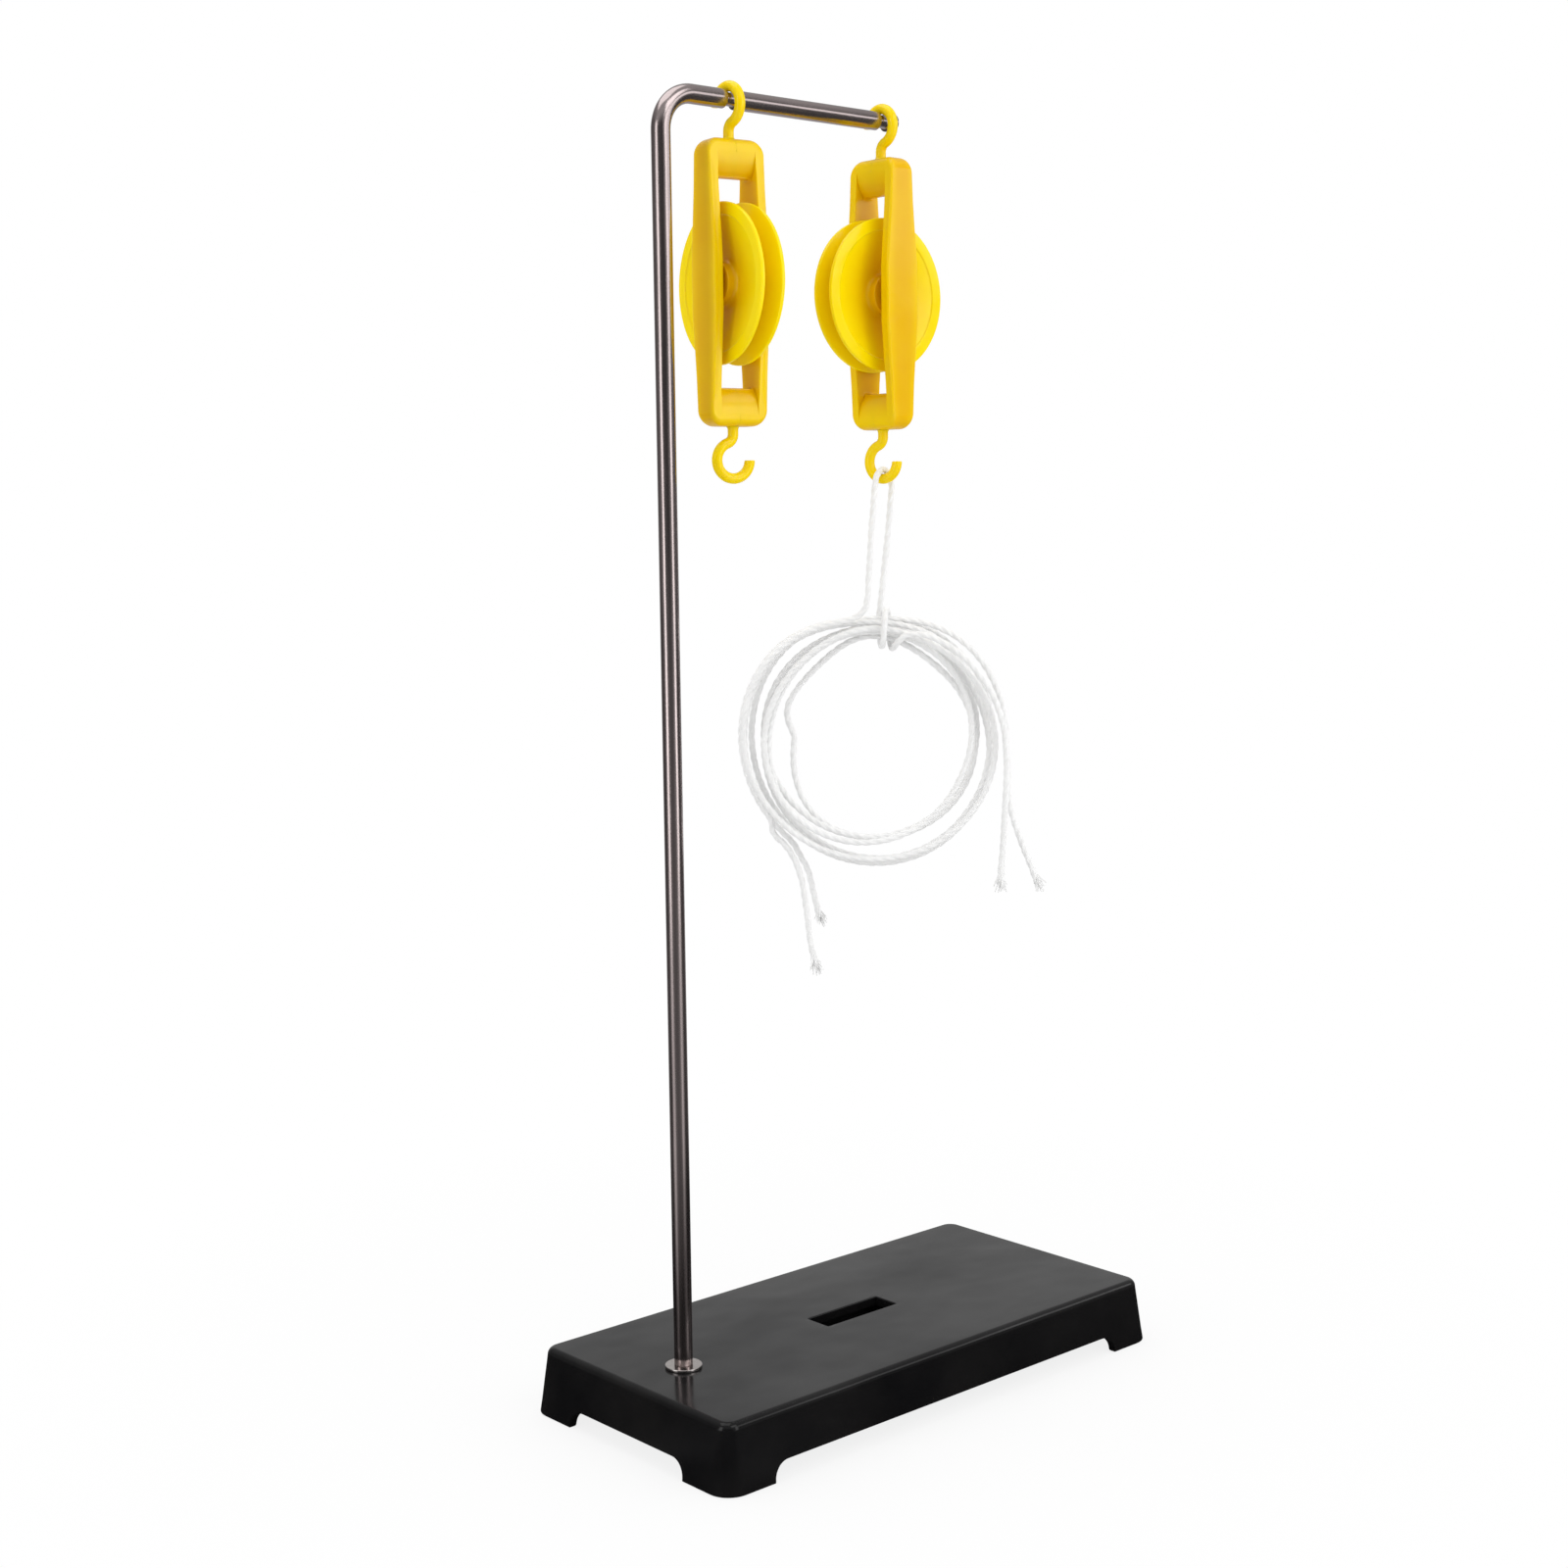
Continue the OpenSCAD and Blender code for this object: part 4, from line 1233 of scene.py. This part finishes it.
def reflection_share(tree, path):
    """1 for what a reflection or a refraction sees, and otherwise 0."""
    return of_two(tree, "MAXIMUM", path.outputs["Is Glossy Ray"], path.outputs["Is Transmission Ray"])


def floor_material():
    """Pale, with soft shadows near the object, and plain white further off."""
    material = bpy.data.materials.new("floor")
    material.use_nodes = True
    tree = material.node_tree
    tree.nodes.clear()
    path = node(tree, "ShaderNodeLightPath")
    place = node(tree, "ShaderNodeNewGeometry").outputs["Position"]
    off = node(tree, "ShaderNodeVectorMath", {0: place}, operation="LENGTH").outputs["Value"]
    mirrored = reflection_share(tree, path)
    seen = of_two(tree, "MULTIPLY", path.outputs["Is Camera Ray"], spread(tree, off, 0.84, 1, 0.1, 0.34))
    share = of_two(tree, "MAXIMUM", seen, mirrored)
    from_rod = node(tree, "ShaderNodeVectorMath", {0: place, 1: (POST_X * MM, 0, 0)}, operation="SUBTRACT")
    way = node(tree, "ShaderNodeVectorMath", {0: from_rod.outputs["Vector"]}, operation="NORMALIZE")
    pale = node(tree, "ShaderNodeVectorMath", {
        0: by_way(tree, way.outputs["Vector"], GROUND),
        "Scale": spread(tree, off, 0.15, 1, 0.2, 0.36),
    }, operation="SCALE")
    glow = blend_colours(tree, mirrored, (1, 1, 1), pale.outputs["Vector"])
    matt = node(tree, "ShaderNodeBsdfDiffuse", {"Color": (0.8, 0.8, 0.8, 1)}).outputs["BSDF"]
    white = node(tree, "ShaderNodeEmission", {"Color": glow}).outputs["Emission"]
    mixed = node(tree, "ShaderNodeMixShader", {"Fac": share, 1: matt, 2: white}).outputs["Shader"]
    node(tree, "ShaderNodeOutputMaterial", {"Surface": mixed})
    return material


def make_floor():
    around = circle(96)
    points = np.stack([np.cos(around), np.sin(around), np.zeros(96)], axis=1) * FLOOR_R / MM
    floor = make_piece("floor", points, [tuple(range(96))])
    if floor.data.polygons[0].normal.z < 0:
        floor.data.flip_normals()
    floor.location.z = -0.0002
    floor.data.materials.append(floor_material())


OVERHEAD = 0.45
WORLD_FILL = ((-1, 0.72), (-0.5, 0.72), (0.7, 1))


def make_world():
    """White to the camera, AIR in reflections, and WORLD_FILL to everything else."""
    world = bpy.data.worlds.new("world")
    world.use_nodes = True
    bpy.context.scene.world = world
    tree = world.node_tree
    path = node(tree, "ShaderNodeLightPath")
    way = node(tree, "ShaderNodeTexCoord").outputs["Generated"]
    height = node(tree, "ShaderNodeSeparateXYZ", {"Vector": way}).outputs["Z"]
    above = (OVERHEAD, OVERHEAD, OVERHEAD)
    reflected = blend_colours(tree, spread(tree, height, 0, 1, 0.35, 0.8), by_way(tree, way, AIR), above)
    unseen = blend_colours(tree, reflection_share(tree, path), by_way(tree, way, WORLD_FILL), reflected)
    seen = blend_colours(tree, path.outputs["Is Camera Ray"], unseen, (1, 1, 1))
    tree.links.new(seen, tree.nodes["Background"].inputs["Color"])


def soft_light(name, way, distance, size, radiance, mirrored=1.0):
    """A rectangular light facing the object, as bright as a surface of that radiance."""
    data = bpy.data.lights.new(name, "AREA")
    data.shape = "RECTANGLE"
    data.size, data.size_y = size
    data.energy = radiance * math.pi * size[0] * size[1]
    data.specular_factor = mirrored
    light = bpy.data.objects.new(name, data)
    way = Vector(way).normalized()
    light.location = SUBJECT + way * distance
    light.rotation_euler = way.to_track_quat("Z", "Y").to_euler()
    bpy.context.scene.collection.objects.link(light)


make_floor()
make_world()
soft_light("left_box", (-0.998, 0.045, 0.05), 1.1, (0.42, 1.2), 1.6)
soft_light("right_box", (0.25, -0.968, 0.05), 1.1, (0.36, 1.2), 1.6)
soft_light("front_top_box", (0.1, -0.75, 0.8), 1.2, (0.8, 0.5), 1.7, 0.2)
soft_light("arm_strip", (0.667, -0.644, 0.375), 1.1, (0.9, 0.28), 1.2)
soft_light("top_box", (-0.15, 0.2, 1), 1.2, (1.0, 1.0), 1.2, 0.4)
